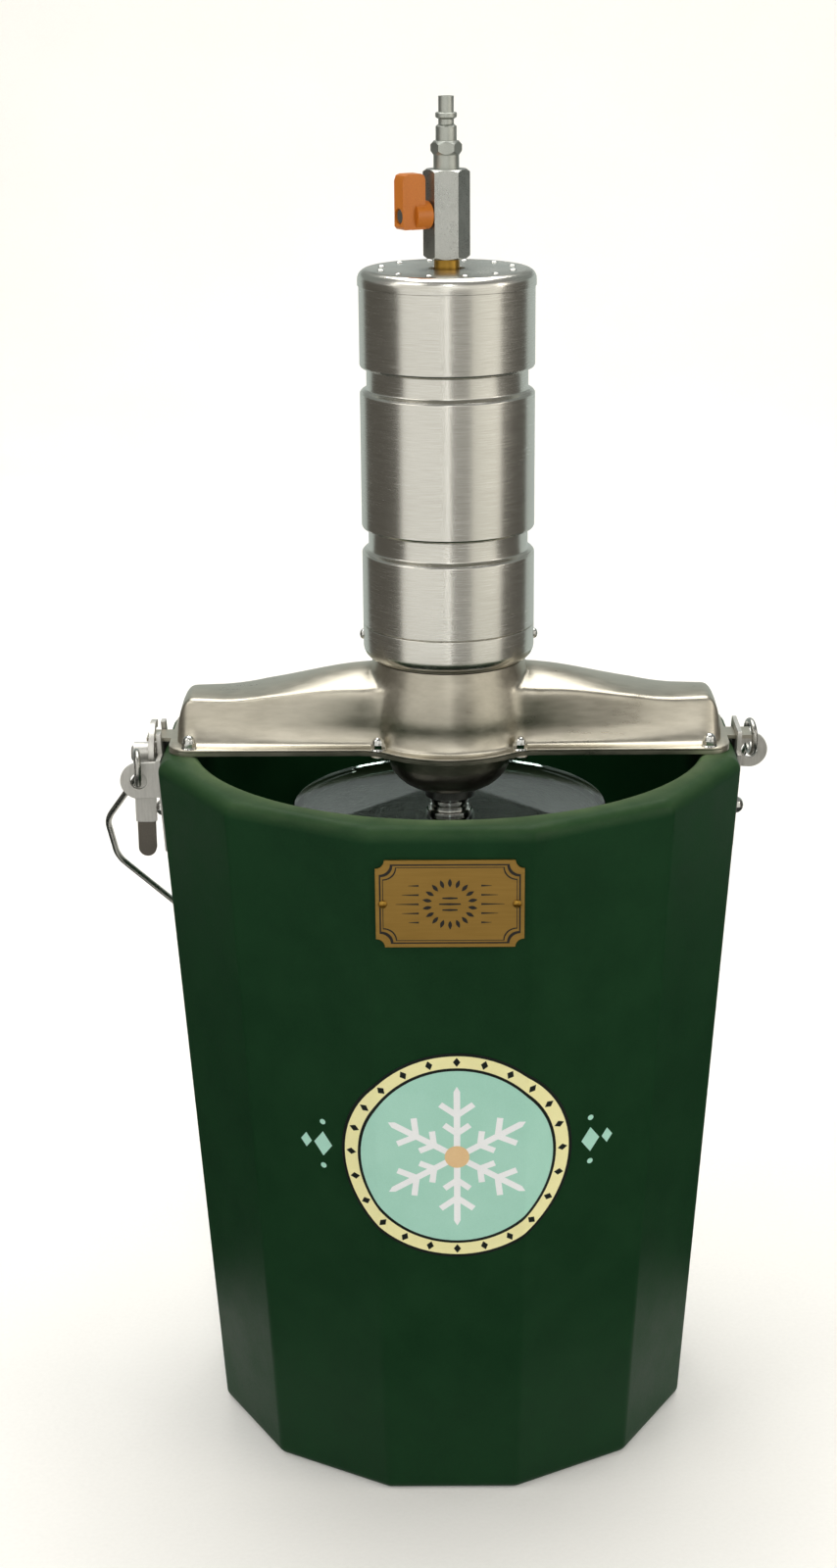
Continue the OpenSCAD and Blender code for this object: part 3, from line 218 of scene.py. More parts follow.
# %% Metals
make_finish("housing_steel", "#d2cfc6", "#e6e4dc", (0.2, 0.28), 1.0, cloud=14, fine=70, stretch=(1, 1, 45),
            share=0.7, relief=0.05, depth=0.04)
make_finish("frame_steel", "#aea899", "#c8c2b3", (0.27, 0.38), 1.0, cloud=18, fine=420, stretch=(0.2, 1, 1),
            share=0.4, relief=0.03, depth=0.06)
make_finish("bracket_steel", "#bdbbb5", "#d6d4ce", (0.34, 0.48), 0.85, cloud=60, fine=900, stretch=(1, 1, 0.15),
            share=0.6, relief=0.12)
make_finish("bright_steel", "#cfcfcb", "#e4e4e0", (0.07, 0.18), 1.0, cloud=90, fine=1500, relief=0.03)
make_finish("wire_steel", "#9c9b95", "#c2c1bb", (0.22, 0.36), 1.0, cloud=40, fine=2200, relief=0.08)
make_finish("can_steel", "#b1b1ac", "#cdcdc8", (0.2, 0.34), 1.0, cloud=16, fine=70, stretch=(1, 1, 40),
            share=0.6, relief=0.06, depth=0.05)
make_finish("plaque_brass", "#92702b", "#9d7a34", (0.42, 0.48), 0.45, cloud=40, fine=700, stretch=(0.06, 1, 1),
            share=0.7, relief=0.04)
make_finish("blasted_steel", "#a3a69f", "#bdc0b8", (0.36, 0.48), 1.0, cloud=90, fine=2600, share=0.6, relief=0.25)
make_finish("valve_steel", "#a3a49f", "#c0c1bb", (0.24, 0.38), 1.0, cloud=80, fine=2600, share=0.7, relief=0.2)
make_finish("gear_steel", "#6f706d", "#90918d", (0.25, 0.42), 1.0, cloud=70, fine=1500, relief=0.1)
make_finish("motor_aluminium", "#b9bab8", "#d5d6d3", (0.3, 0.45), 1.0, cloud=30, fine=90, stretch=(1, 1, 40))
make_finish("bronze", "#8a6335", "#ad8148", (0.34, 0.5), 1.0, cloud=70, fine=2200, share=0.7, relief=0.2)
make_finish("brass", "#9a7732", "#b08a40", (0.3, 0.42), 1.0, cloud=40, fine=700, stretch=(0.06, 1, 1),
            share=0.5, relief=0.08)
print("finishes:", len(finish))

# %% [markdown]
# Every solid takes the finish of its slot in the record. Those that a finer piece covers later keep it too,
# so nothing is ever left plain.

# %% Dress every solid
for node, solid in frame["nodes"].items():
    solid.data.materials.clear()
    solid.data.materials.append(finish[slot_of[node]])
print("dressed:", len(frame["nodes"]))

# %% [markdown]
# ## Tools for meshes
# Two tools do most of the shaping. One turns points and faces into a finished piece: doubles merged, faces
# outwards, smooth except at real edges, riding on its body. The other copies a solid, melts its loose
# triangles into clean faces and breaks every sharp edge a little, as a file or a press would.

# %% Finish a piece
WELD, FINE_WELD = 0.002 * MM, 0.001 * MM


def merged(mesh, reach=WELD):
    work = bmesh.new()
    work.from_mesh(mesh)
    bmesh.ops.remove_doubles(work, verts=work.verts, dist=reach)
    bmesh.ops.recalc_face_normals(work, faces=work.faces)
    work.to_mesh(mesh)
    work.free()
    return mesh


def settle(name, mesh, node, look=None, crease=30.0, covers=True, even_flats=False):
    merged(mesh)
    mesh.shade_smooth()
    mesh.set_sharp_from_angle(angle=math.radians(crease))
    mesh.materials.clear()
    mesh.materials.append(finish[look or slot_of[node]])
    made = shown(name, mesh)
    if even_flats:
        made.modifiers.new("even_flats", "WEIGHTED_NORMAL").keep_sharp = True
        mesh = worked(made)
        made.modifiers.clear()
        made.data = mesh
    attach(made, body_of[node])
    if covers:
        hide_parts(node)
    print(name, len(mesh.polygons), "faces")


def from_points(name, points, faces):
    mesh = bpy.data.meshes.new(name)
    mesh.from_pydata([[c * MM for c in p] for p in points], [], faces)
    return merged(mesh)


def filed(node, edge=0.3, crease=30.0, steps=2, look=None, start=None):
    work = bmesh.new()
    work.from_mesh(start or frame["nodes"][node].data)
    bmesh.ops.remove_doubles(work, verts=work.verts, dist=FINE_WELD)
    bmesh.ops.dissolve_limit(work, angle_limit=math.radians(0.5), verts=work.verts, edges=work.edges)
    sharp = [e for e in work.edges if len(e.link_faces) == 2 and e.calc_face_angle(0) > math.radians(crease)]
    bmesh.ops.bevel(work, geom=sharp, offset=edge * MM, segments=steps, profile=0.5, affect="EDGES",
                    clamp_overlap=True)
    work.verts.index_update()
    points = [v.co / MM for v in work.verts]
    faces = [[v.index for v in f.verts] for f in work.faces]
    work.free()
    settle("filed_" + node, from_points("filed_" + node, points, faces), node, look, even_flats=True)


# %% [markdown]
# ## Tub
# The tub is a moulded bucket with twelve sides, rounded corners, a rolled rim and a round mouth. It could be
# a lathe shape with flats cut on it, but rings of equal count, stacked like the layers of a coil pot, keep
# the flats truly flat. Two extra points hold each flat, so the shading stays even right up to the corner.

# %% Rings for the tub
TUB_H, RIM, FOOT = 392.0, 156.0, 131.0
SIDES, CORNER, HOLD, CUTS = 12, 7, 1.2, 10
SECTOR = 360 / SIDES
HALF_SECTOR = math.radians(SECTOR / 2)


def side_at(z):
    return FOOT + (RIM - FOOT) * z / TUB_H


def flat_ring(half, corner, z, steps=6):
    points = []
    for k in range(SIDES):
        mid = math.radians(SECTOR * k + SECTOR / 2)
        far = (half - corner) / math.cos(HALF_SECTOR)
        arc = []
        for j in range(steps + 1):
            turn = mid + math.radians(SECTOR * j / steps - SECTOR / 2)
            arc.append((far * math.cos(mid) + corner * math.cos(turn),
                        far * math.sin(mid) + corner * math.sin(turn), z))
        first, last = mid - HALF_SECTOR, mid + HALF_SECTOR
        points.append((arc[0][0] + HOLD * math.sin(first), arc[0][1] - HOLD * math.cos(first), z))
        points.extend(arc)
        points.append((arc[-1][0] - HOLD * math.sin(last), arc[-1][1] + HOLD * math.cos(last), z))
        span = 2 * (half - corner) * math.tan(HALF_SECTOR)
        for j in range(1, CUTS):
            step = HOLD + (span - 2 * HOLD) * j / CUTS
            points.append((arc[-1][0] - step * math.sin(last), arc[-1][1] + step * math.cos(last), z))
    return points


def round_ring(like, radius, z):
    return [(radius * math.cos(math.atan2(p[1], p[0])), radius * math.sin(math.atan2(p[1], p[0])), z)
            for p in like]


def stack(rings, closed=True):
    count = len(rings[0])
    points = [p for ring in rings for p in ring]
    faces = [[i * count + j, i * count + (j + 1) % count, (i + 1) * count + (j + 1) % count, (i + 1) * count + j]
             for i in range(len(rings) - 1) for j in range(count)]
    if closed:
        faces.append(list(range(count))[::-1])
        faces.append([(len(rings) - 1) * count + j for j in range(count)])
    return points, faces


# %% Build the tub
FOOT_BEND, RIM_BEND, LIP_BEND, MOUTH = 5, 8, 5, 138
rings = []
for t in range(0, 91, 15):
    inset = FOOT_BEND * (1 - math.sin(math.radians(t)))
    z = FOOT_BEND * (1 - math.cos(math.radians(t)))
    rings.append(flat_ring(side_at(z) - inset, CORNER - inset / 2, z))
for z in (8, 376, 383):
    rings.append(flat_ring(side_at(z), CORNER, z))
for t in range(0, 91, 10):
    inset = RIM_BEND * (1 - math.cos(math.radians(t)))
    z = TUB_H - RIM_BEND + RIM_BEND * math.sin(math.radians(t))
    rings.append(flat_ring(side_at(z) - inset, max(1, CORNER - inset / 2), z))
outline = rings[-1]
for t in range(90, -1, -15):
    rings.append(round_ring(outline, MOUTH + LIP_BEND * (1 - math.cos(math.radians(t))),
                            TUB_H - LIP_BEND + LIP_BEND * math.sin(math.radians(t))))
for radius, z in ((137.3, 378), (115.3, 44), (114.8, 36), (113.6, 32), (112.3, 30.5), (109, 28.8), (106.8, 28),
                  (100, 28)):
    rings.append(round_ring(outline, radius, z))
tub_mesh = from_points("moulded_tub", *stack(rings))
print("tub rings:", len(rings))

# %% [markdown]
# The drain is a plain round hole through the back wall. A Boolean cuts it. The result is read back as
# a plain mesh, and the cutter is thrown away.

# %% Cut the drain
def carve(mesh, *steps):
    body = shown("body_to_carve", mesh)
    tools = []
    for operation, shape in steps:
        tool = shown("tool", shape)
        saw = body.modifiers.new("saw", "BOOLEAN")
        saw.operation, saw.solver, saw.object = operation, "EXACT", tool
        tools.append(tool)
    made = worked(body)
    for item in [body] + tools:
        bpy.data.objects.remove(item)
    return made


def circle(radius, steps):
    turns = [2 * math.pi * k / steps for k in range(steps)]
    return [(radius * math.cos(a), radius * math.sin(a)) for a in turns]


def prod(radius, length, place, direction, steps=48):
    rings = [[(x, y, z) for x, y in circle(radius, steps)] for z in (0, length)]
    mesh = from_points("prod", *stack(rings))
    turn = Vector(direction).to_track_quat("Z", "Y").to_matrix().to_4x4()
    mesh.transform(Matrix.Translation(Vector(place) * MM) @ turn)
    return mesh


drain = prod(radius=6, length=80, place=(0, 98, 300), direction=(0, 1, 0))
settle("moulded_tub", carve(tub_mesh, ("DIFFERENCE", drain)), "tub", crease=38)

# %% [markdown]
# ## Gear frame
# The frame is one pressing: two hat-shaped arms that swell into a round cup under the motor. Each slice
# across the arms is a smooth blend of an arm and a circle, so the skin is a stack of such slices, taken
# finely. The height rules are the ones the solid was drawn with.

# %% Rules of the pressing
ARM, CUP, COLLAR, REACH, RISE, TOP = 27.0, 45.5, 41.0, 147.0, 25.0, 44.0
FLANGE_Z, SHEET, FLANGE_REACH, LIP = 394.0, 1.5, 151.0, 8.5


def held(v):
    return min(1.0, max(0.0, v))


def blended(a, b, k):
    return (a + b + math.sqrt((a - b) ** 2 + k * k)) / 2


def spine(ax):
    sweep = (1 - math.cos(math.pi * held((ax - 38) / (REACH - 60)))) / 2
    height = RISE + (TOP * 0.89 - RISE) * (1 - sweep)
    return height * math.sqrt(max(0, 1 - held((ax - REACH + 9) / 9.3) ** 2.6))


def fold_at(ax):
    return spine(ax) * (0.8 + 0.15 * held((ax - 50) / 50))


def arm_side(ax, z):
    top, fold = spine(ax), fold_at(ax)
    q = held((ax - REACH + 12) / 12)
    wide = ARM - 9 * (1 - math.sqrt(max(0, 1 - q * q)))
    narrow = min(ARM - (ARM - 14) * held((ax - 46) / (REACH - 46)), wide)
    if z <= fold:
        return wide + (narrow - wide) * z / max(0.1, fold)
    return narrow * math.sqrt(max(0, 1 - (z - fold) / max(0.1, top - fold)))


def cup_side(ax, z):
    r = CUP - (CUP - COLLAR) * held((z - 16) / (TOP - 16)) ** 1.3
    return math.sqrt(max(0, r * r - ax * ax))


def frame_top(ax):
    cup = TOP if ax <= COLLAR else TOP * held((CUP + 1 - ax) / (CUP + 1 - COLLAR))
    return max(spine(ax), cup)


def flange_side(ax):
    q = held((ax - FLANGE_REACH + 12) / 12)
    foot = blended(ARM, math.sqrt(max(0, CUP * CUP - ax * ax)), 8)
    return foot + LIP - 12 * (1 - math.sqrt(max(0, 1 - q * q)))


print("frame heights:", [round(frame_top(x), 1) for x in (0, 41, 60, 100, 147)])

# %% Slices of the pressing
half_steps = [k * 1.5 for k in range(93)] + [REACH - e for e in (7.4, 6, 4.6, 3.4, 2.4, 1.6, 0.9, 0.4, 0.1, 0)]


def even(line, count):
    walked = [0.0]
    for (y, z), (v, w) in zip(line, line[1:]):
        walked.append(walked[-1] + math.hypot(v - y, w - z))
    points, i = [], 0
    for k in range(count):
        goal = walked[-1] * k / (count - 1)
        while i < len(line) - 2 and walked[i + 1] < goal:
            i += 1
        part = held((goal - walked[i]) / max(1e-9, walked[i + 1] - walked[i]))
        points.append(tuple(a + (b - a) * part for a, b in zip(line[i], line[i + 1])))
    return points


def flank(ax, inset, low, count=44):
    top = frame_top(ax) - inset
    if ax > REACH or top < low + 1:
        return [(14 - 13.4 * k / (count - 1), low) for k in range(count)]
    fold = min(top - 0.5, max(low + 0.4, fold_at(ax)))
    heights = [low + (fold - low) * k / 40 for k in range(41)]
    heights += [fold + (top - fold) * math.sin(math.radians(3 * k)) for k in range(1, 31)]
    line = even([(max(0.6, blended(arm_side(ax, z), cup_side(ax, z), 5) - inset), z) for z in heights], count)
    for turn in range(6):
        line = line[:1] + [tuple((a + 2 * b + c) / 4 for a, b, c in zip(*three))
                           for three in zip(line, line[1:], line[2:])] + line[-1:]
    return line


def loop_at(x, line):
    return [(x, y, FLANGE_Z + z) for y, z in line] + [(x, -y, FLANGE_Z + z) for y, z in line[::-1]]


print("half slices:", len(half_steps))

# %% [markdown]
# The flange is part of each slice: a flat lip with a rounded edge that curls up into the arm. Past the ends of
# the arms only the lip goes on. A second, smaller pressing is the hollow for the gears, and a round prod is the
# motor's hole; a Boolean takes both out, so the frame is a real sheet.

# %% Flange and hollow
LIP_EDGE = ((0.4, 0.0), (0.1, 0.15), (0.0, 0.5), (0.0, 1.0), (0.1, 1.35), (0.4, SHEET))
CURL, CURL_RISE, RUN_OUT = 4.0, 11, 8


def pressed(name, rings):
    rings = [(-x, side) for x, side in rings[:0:-1]] + rings
    return from_points(name, *stack([loop_at(x, side) for x, side in rings]))


skin_rings = []
for x in half_steps + [REACH + e for e in (0.02, 1, 2, 2.8, 3.4, 3.8, 3.95)]:
    toe = CURL * held((REACH - x) / RUN_OUT)
    wide = flange_side(x)
    side = [(wide - back, z) for back, z in LIP_EDGE]
    for y, z in flank(x, 0.0, SHEET):
        side.append((y + toe * (1 - math.sqrt(1 - held(1 - (z - SHEET) / CURL_RISE) ** 2)), z))
    skin_rings.append((x, side))
skin = pressed("pressed_skin", skin_rings)
hollow = pressed("pressed_hollow", [(x * (REACH - SHEET) / REACH, flank(x, SHEET, -0.6)) for x in half_steps])
motor_hole = prod(radius=28, length=20, place=(0, 0, FLANGE_Z + TOP - 8), direction=(0, 0, 1))
settle("pressed_frame", carve(skin, ("DIFFERENCE", hollow), ("DIFFERENCE", motor_hole)), "frame_shell", crease=40)

# %% [markdown]
# ## Growing pieces with Geometry Nodes
# Nuts, screw heads, vent holes and wire all repeat or follow a path. A tree with named sizes makes each of
# them from a few seed points, so a change of one number changes them all. The result is read back as a plain
# mesh, because the finished piece has to carry its place in its own points.

# %% Plant and grow
def tree_of(name, *sizes):
    tree = bpy.data.node_groups.new(name, "GeometryNodeTree")
    tree.interface.new_socket("Geometry", in_out="INPUT", socket_type="NodeSocketGeometry")
    tree.interface.new_socket("Geometry", in_out="OUTPUT", socket_type="NodeSocketGeometry")
    for label in sizes:
        tree.interface.new_socket(label, in_out="INPUT", socket_type="NodeSocketFloat")
    return tree, put(tree, "NodeGroupInput").outputs


def close(tree, shape, finish_name):
    real = put(tree, "GeometryNodeRealizeInstances", {"Geometry": shape}).outputs["Geometry"]
    coat = put(tree, "GeometryNodeSetMaterial", {"Geometry": real, "Material": finish[finish_name]})
    put(tree, "NodeGroupOutput", {"Geometry": coat.outputs["Geometry"]})


def grown(name, tree, mesh, **sizes):
    seed = shown(name + "_seed", mesh)
    grower = seed.modifiers.new("grower", "NODES")
    grower.node_group = tree
    for item in tree.interface.items_tree:
        if item.in_out == "INPUT" and item.name in sizes:
            grower[item.identifier] = sizes[item.name]
    made = worked(seed)
    bpy.data.objects.remove(seed)
    return made


def plant(tree, points, instance, **turn):
    made = put(tree, "GeometryNodeInstanceOnPoints", {"Points": points, "Instance": instance, **turn})
    return made.outputs["Instances"]


def hoop(tree, radius, steps):
    made = put(tree, "GeometryNodeCurvePrimitiveCircle", {"Resolution": steps, "Radius": radius})
    return made.outputs["Curve"]


def swept(tree, curve, section, caps=False):
    made = put(tree, "GeometryNodeCurveToMesh", {"Curve": curve, "Profile Curve": section, "Fill Caps": caps})
    return made.outputs["Mesh"]


def seeds(name, spots):
    mesh = bpy.data.meshes.new(name)
    mesh.from_pydata([[c * MM for c in place] for place, facing in spots], [], [])
    turn = mesh.attributes.new("facing", "FLOAT_VECTOR", "POINT")
    for i, (place, facing) in enumerate(spots):
        turn.data[i].vector = facing
    return mesh


# %% [markdown]
# A domed nut is a hexagon with a round skirt under it and a ball pressed into its top. The eight on the
# flange stand upright. The slim neck between hexagon and dome is what catches the light.

# %% Domed nuts on the flange
def raised(tree, shape, height, scale=None):
    up = put(tree, "ShaderNodeCombineXYZ", {"Z": height})
    settings = {"Geometry": shape, "Translation": up.outputs["Vector"]}
    if scale is not None:
        settings["Scale"] = scale
    return put(tree, "GeometryNodeTransform", settings).outputs["Geometry"]


tree, size = tree_of("domed nuts", "Across", "Hex height", "Dome radius", "Dome rise")
width, hex_h, dome_r = size["Across"], size["Hex height"], size["Dome radius"]
hexagon = put(tree, "GeometryNodeMeshCylinder", {"Vertices": 6, "Radius": width, "Depth": hex_h})
skirt = put(tree, "GeometryNodeMeshCone", {
    "Vertices": 32, "Radius Bottom": reckon(tree, width, 1.12, "MULTIPLY"), "Radius Top": width, "Depth": 0.7 * MM})
flat_top = put(tree, "GeometryNodeMeshCone", {
    "Vertices": 32, "Radius Bottom": reckon(tree, width, 0.9, "MULTIPLY"), "Radius Top": dome_r, "Depth": 0.5 * MM})
ball = put(tree, "GeometryNodeMeshUVSphere", {"Segments": 32, "Rings": 20, "Radius": dome_r})
tall = put(tree, "ShaderNodeCombineXYZ", {
    "X": 1.0, "Y": 1.0, "Z": reckon(tree, size["Dome rise"], dome_r, "DIVIDE")})
nut = put(tree, "GeometryNodeJoinGeometry")
for shape in (raised(tree, hexagon.outputs["Mesh"], reckon(tree, hex_h, 0.5, "MULTIPLY")), skirt.outputs["Mesh"],
              raised(tree, flat_top.outputs["Mesh"], hex_h),
              raised(tree, ball.outputs["Mesh"], hex_h, tall.outputs["Vector"])):
    tree.links.new(shape, nut.inputs["Geometry"])
close(tree, plant(tree, size["Geometry"], nut.outputs["Geometry"]), "bright_steel")
nut_spots = [((sx * x, sy * y, FLANGE_Z + SHEET), (0, 0, 1)) for x, y in ((139.5, 31.4), (38.0, 35.6))
             for sx in (-1, 1) for sy in (-1, 1)]
nuts = grown("domed_nuts", tree, seeds("nut_spots", nut_spots), **{
    "Across": 3.9 * MM, "Hex height": 3.0 * MM, "Dome radius": 3.4 * MM, "Dome rise": 4.0 * MM})
settle("domed_nuts", nuts, "cap_nuts", crease=35)

# %% [markdown]
# Screw heads face many ways: out of the sloping tub, out of the base ring, out of the plaque. Each seed point
# carries the direction it faces, and the tree turns the head to it. A Boolean saws the slot.

# %% Screw heads
BLOCK, BOLT_AT, PLAQUE_AT = 0.04, 357, 353
tree, size = tree_of("screw heads", "Radius", "Rise", "Shank", "Slot")
ball = put(tree, "GeometryNodeMeshUVSphere", {"Segments": 32, "Rings": 24, "Radius": 1.0})
full = put(tree, "ShaderNodeCombineXYZ", {"X": size["Radius"], "Y": size["Radius"], "Z": size["Rise"]})
dome = put(tree, "GeometryNodeTransform", {"Geometry": ball.outputs["Mesh"], "Scale": full.outputs["Vector"]})
below = put(tree, "GeometryNodeMeshCube", {"Size": (BLOCK, BLOCK, BLOCK)})
slit = put(tree, "ShaderNodeCombineXYZ", {"X": BLOCK, "Y": size["Slot"], "Z": size["Rise"]})
slot_bar = put(tree, "GeometryNodeMeshCube", {"Size": slit.outputs["Vector"]})
saw = put(tree, "GeometryNodeMeshBoolean", {"Mesh 1": dome.outputs["Geometry"]}, operation="DIFFERENCE",
          solver="EXACT")
tree.links.new(raised(tree, below.outputs["Mesh"], -BLOCK / 2), saw.inputs["Mesh 2"])
tree.links.new(raised(tree, slot_bar.outputs["Mesh"], size["Rise"]), saw.inputs["Mesh 2"])
stem = put(tree, "GeometryNodeMeshCylinder", {
    "Vertices": 24, "Radius": reckon(tree, size["Radius"], 0.52, "MULTIPLY"), "Depth": size["Shank"]})
head = put(tree, "GeometryNodeJoinGeometry")
tree.links.new(saw.outputs["Mesh"], head.inputs["Geometry"])
half_down = reckon(tree, size["Shank"], -0.5, "MULTIPLY")
tree.links.new(raised(tree, stem.outputs["Mesh"], half_down), head.inputs["Geometry"])
facing = put(tree, "GeometryNodeInputNamedAttribute", {"Name": "facing"}, data_type="FLOAT_VECTOR")
turned_to = put(tree, "FunctionNodeAlignRotationToVector", {"Vector": facing.outputs["Attribute"]}, axis="Z")
heads = plant(tree, size["Geometry"], head.outputs["Geometry"], Rotation=turned_to.outputs["Rotation"])
close(tree, heads, "bright_steel")
slope = math.atan((RIM - FOOT) / TUB_H)
lean, rise = math.cos(slope), math.sin(slope)


def on_slope(along, out, side):
    return (side * (FOOT + along * rise + out * lean), along * lean - out * rise)


bolts = []
for side in (-1, 1):
    x, z = on_slope(BOLT_AT, 2.65, side)
    bolts += [((x, y, z), (side * lean, 0, -rise)) for y in (-14, 14)]
y, z = on_slope(PLAQUE_AT, 1.25, -1)
plaque_spots = [((x, y, z), (0, -lean, -rise)) for x in (-33.4, 33.4)]
ring_spots = [((side * 46.05, 0, 450), (side, 0, 0)) for side in (-1, 1)]
for name, node, places, radius, rise_mm, shank, slot in (
        ("bracket_bolt_heads", "bracket_bolts", bolts, 4.6, 4.5, 14.0, 0.9),
        ("plaque_screw_heads", "plaque_screws", plaque_spots, 2.2, 1.3, 7.0, 0.5),
        ("ring_screw_heads", "base_screws", ring_spots, 2.8, 2.0, 4.8, 0.6)):
    settle(name, grown(name, tree, seeds(name + "_spots", places), Radius=radius * MM, Rise=rise_mm * MM,
                       Shank=shank * MM, Slot=slot * MM), node, crease=35)

# %% [markdown]
# ## Motor housing
# The housing is turned sheet: a rounded base ring, a tube with two rolled grooves and a flanged cap. A profile
# spun about the axis gives each of them. Extra points at every bend make the rolled edges soft.

# %% Spin a profile
def spun(name, profile, steps=128):
    rings = [[(x, y, z) for x, y in circle(r, steps)] for r, z in profile]
    return from_points(name, *stack(rings + rings[:1], closed=False))


def bent(corners, steps=6):
    line = []
    for i, (r, z, bend) in enumerate(corners):
        if not bend:
            line.append((r, z))
            continue
        here = Vector((r, z))
        before = (Vector(corners[i - 1][:2]) - here).normalized()
        after = (Vector(corners[(i + 1) % len(corners)][:2]) - here).normalized()
        half = before.angle(after) / 2
        reach = bend / math.tan(half)
        middle = here + (before + after).normalized() * (bend / math.sin(half))
        first, last = here + before * reach - middle, here + after * reach - middle
        for k in range(steps + 1):
            spot = middle + first.normalized().slerp(last.normalized(), k / steps) * bend
            line.append((spot.x, spot.y))
    return line


def groove(z, r):
    deep = r - 3.5
    return [(r, z - 0.9, 0.8), (r - 0.9, z + 0.1, 0.5), (deep, z + 1.4, 1.2), (deep, z + 12.3, 0.8),
            (r - 0.4, z + 13.0, 0.3), (r, z + 13.9, 0.4)]


SKIN, BORE, GROOVES = 46.0, 44.5, (497, 582)
tube_out = [(45.4, 457.1, 0), (SKIN, 457.7, 0.4)] + [p for z in GROOVES for p in groove(z, SKIN)] + [(SKIN, 636.5, 0)]
tube_in = [(BORE, 457.1, 0)] + [p for z in GROOVES for p in groove(z, BORE)] + [(BORE, 636.5, 0)]
settle("grooved_tube", spun("grooved_tube", bent(tube_out + tube_in[::-1])), "housing_tube", crease=40)
ring_line = [(30, 438.0, 0), (46, 438.0, 7.4), (46, 457, 0.6), (44.4, 457, 0), (44.4, 463, 0), (42.5, 463, 0),
             (42.5, 447, 0), (41, 443, 0), (38.9, 441, 0), (30, 441, 0)]
settle("rounded_base_ring", spun("rounded_base_ring", bent(ring_line, 10)), "base_ring", crease=40)

# %% [markdown]
# Twelve small vents sit in a circle on the cap. The tree puts a peg at each point of a circle and cuts all the
# pegs out of the spun cap at once.

# %% Cap with vents
VENTS, VENT, VENT_CIRCLE, CAP_TOP = 12, 1.5, 35.2, 645


def vent_spots(tree, radius, z):
    ring = put(tree, "GeometryNodeMeshCircle", {"Vertices": VENTS, "Radius": radius})
    spin = put(tree, "GeometryNodeTransform", {
        "Geometry": ring.outputs["Mesh"], "Rotation": (0, 0, math.radians(180 / VENTS)), "Translation": (0, 0, z * MM)})
    return spin.outputs["Geometry"]


tree, size = tree_of("vent holes", "Circle radius", "Hole radius")
peg = put(tree, "GeometryNodeMeshCylinder", {"Vertices": 24, "Radius": size["Hole radius"], "Depth": 20 * MM})
pegs = plant(tree, vent_spots(tree, size["Circle radius"], CAP_TOP - 4), peg.outputs["Mesh"])
solid_pegs = put(tree, "GeometryNodeRealizeInstances", {"Geometry": pegs})
bored = put(tree, "GeometryNodeMeshBoolean", {"Mesh 1": size["Geometry"], "Mesh 2": solid_pegs.outputs["Geometry"]},
            operation="DIFFERENCE", solver="EXACT")
close(tree, bored.outputs["Mesh"], "housing_steel")
cap_line = [(9.6, CAP_TOP, 0.4), (9.6, 642, 0), (39.6, 642, 0), (42.5, 635.5, 0), (42.5, 630.5, 0), (44.4, 630.5, 0),
            (44.4, 636.55, 0), (46.6, 636.55, 0.3), (46.6, CAP_TOP, 5.4)]
cap = grown("vented_cap", tree, spun("vented_cap", bent(cap_line, 8)), **{
    "Circle radius": VENT_CIRCLE * MM, "Hole radius": VENT * MM})
settle("vented_cap", cap, "housing_cap", crease=35)

# %% [markdown]
# Each vent has a bright pressed eyelet. The same circle of points now carries a small ring swept along a circle.

# %% Eyelets of the vents
tree, size = tree_of("eyelets", "Circle radius", "Ring radius", "Ring wire")
eyelet = swept(tree, hoop(tree, size["Ring radius"], 28), hoop(tree, size["Ring wire"], 10))
close(tree, plant(tree, vent_spots(tree, size["Circle radius"], CAP_TOP), eyelet), "bright_steel")
rims = grown("vent_eyelets", tree, bpy.data.meshes.new("eyelet_seed"), **{
    "Circle radius": VENT_CIRCLE * MM, "Ring radius": VENT * MM, "Ring wire": 0.4 * MM})
settle("vent_eyelets", rims, "housing_cap", "bright_steel", covers=False)

# %% [markdown]
# ## Bail
# The bail is one drawn wire with a closed eye at each end. Its route is a bent line; Fillet Curve rounds the
# corners with each corner's own radius, and Curve to Mesh sweeps a circle along it.

# %% Wire along a route
EAR_X, EAR_OFF, BAR_Z, BAIL_REACH, CLEAR = 13.0, 26.0, 384.25, 240.0, 7.8
ear_mid = FOOT + EAR_X * lean + BAR_Z * rise
HINGE_Z = BAR_Z * lean - EAR_X * rise
SKEW, SPAN = math.atan2(EAR_OFF, ear_mid), math.hypot(EAR_OFF, ear_mid)
across = math.cos(SKEW) * (1 + math.tan(HALF_SECTOR) * math.tan(SKEW))
tilt = math.atan(across * math.tan(slope))
HANG = tilt + math.acos((across * (FOOT + HINGE_Z * math.tan(slope)) + CLEAR) * math.cos(tilt) / BAIL_REACH)
tree, size = tree_of("wire along a route", "Wire radius", "Eye radius", "Eye span")
bend = put(tree, "GeometryNodeInputNamedAttribute", {"Name": "bend"}, data_type="FLOAT")
route = put(tree, "GeometryNodeMeshToCurve", {"Mesh": size["Geometry"]})
soft = put(tree, "GeometryNodeFilletCurve", {
    "Curve": route.outputs["Curve"], "Radius": bend.outputs["Attribute"], "Count": 14}, mode="POLY")
section = hoop(tree, size["Wire radius"], 20)
wire = swept(tree, soft.outputs["Curve"], section, caps=True)
ring = swept(tree, hoop(tree, size["Eye radius"], 48), section)
upright = (0, math.radians(90), 0)
both = put(tree, "GeometryNodeJoinGeometry")
tree.links.new(wire, both.inputs["Geometry"])
for sign in (-1.0, 1.0):
    out = put(tree, "ShaderNodeCombineXYZ", {"X": reckon(tree, size["Eye span"], sign, "MULTIPLY")})
    eye = put(tree, "GeometryNodeTransform", {
        "Geometry": ring, "Translation": out.outputs["Vector"], "Rotation": upright})
    tree.links.new(eye.outputs["Geometry"], both.inputs["Geometry"])
close(tree, both.outputs["Geometry"], "wire_steel")
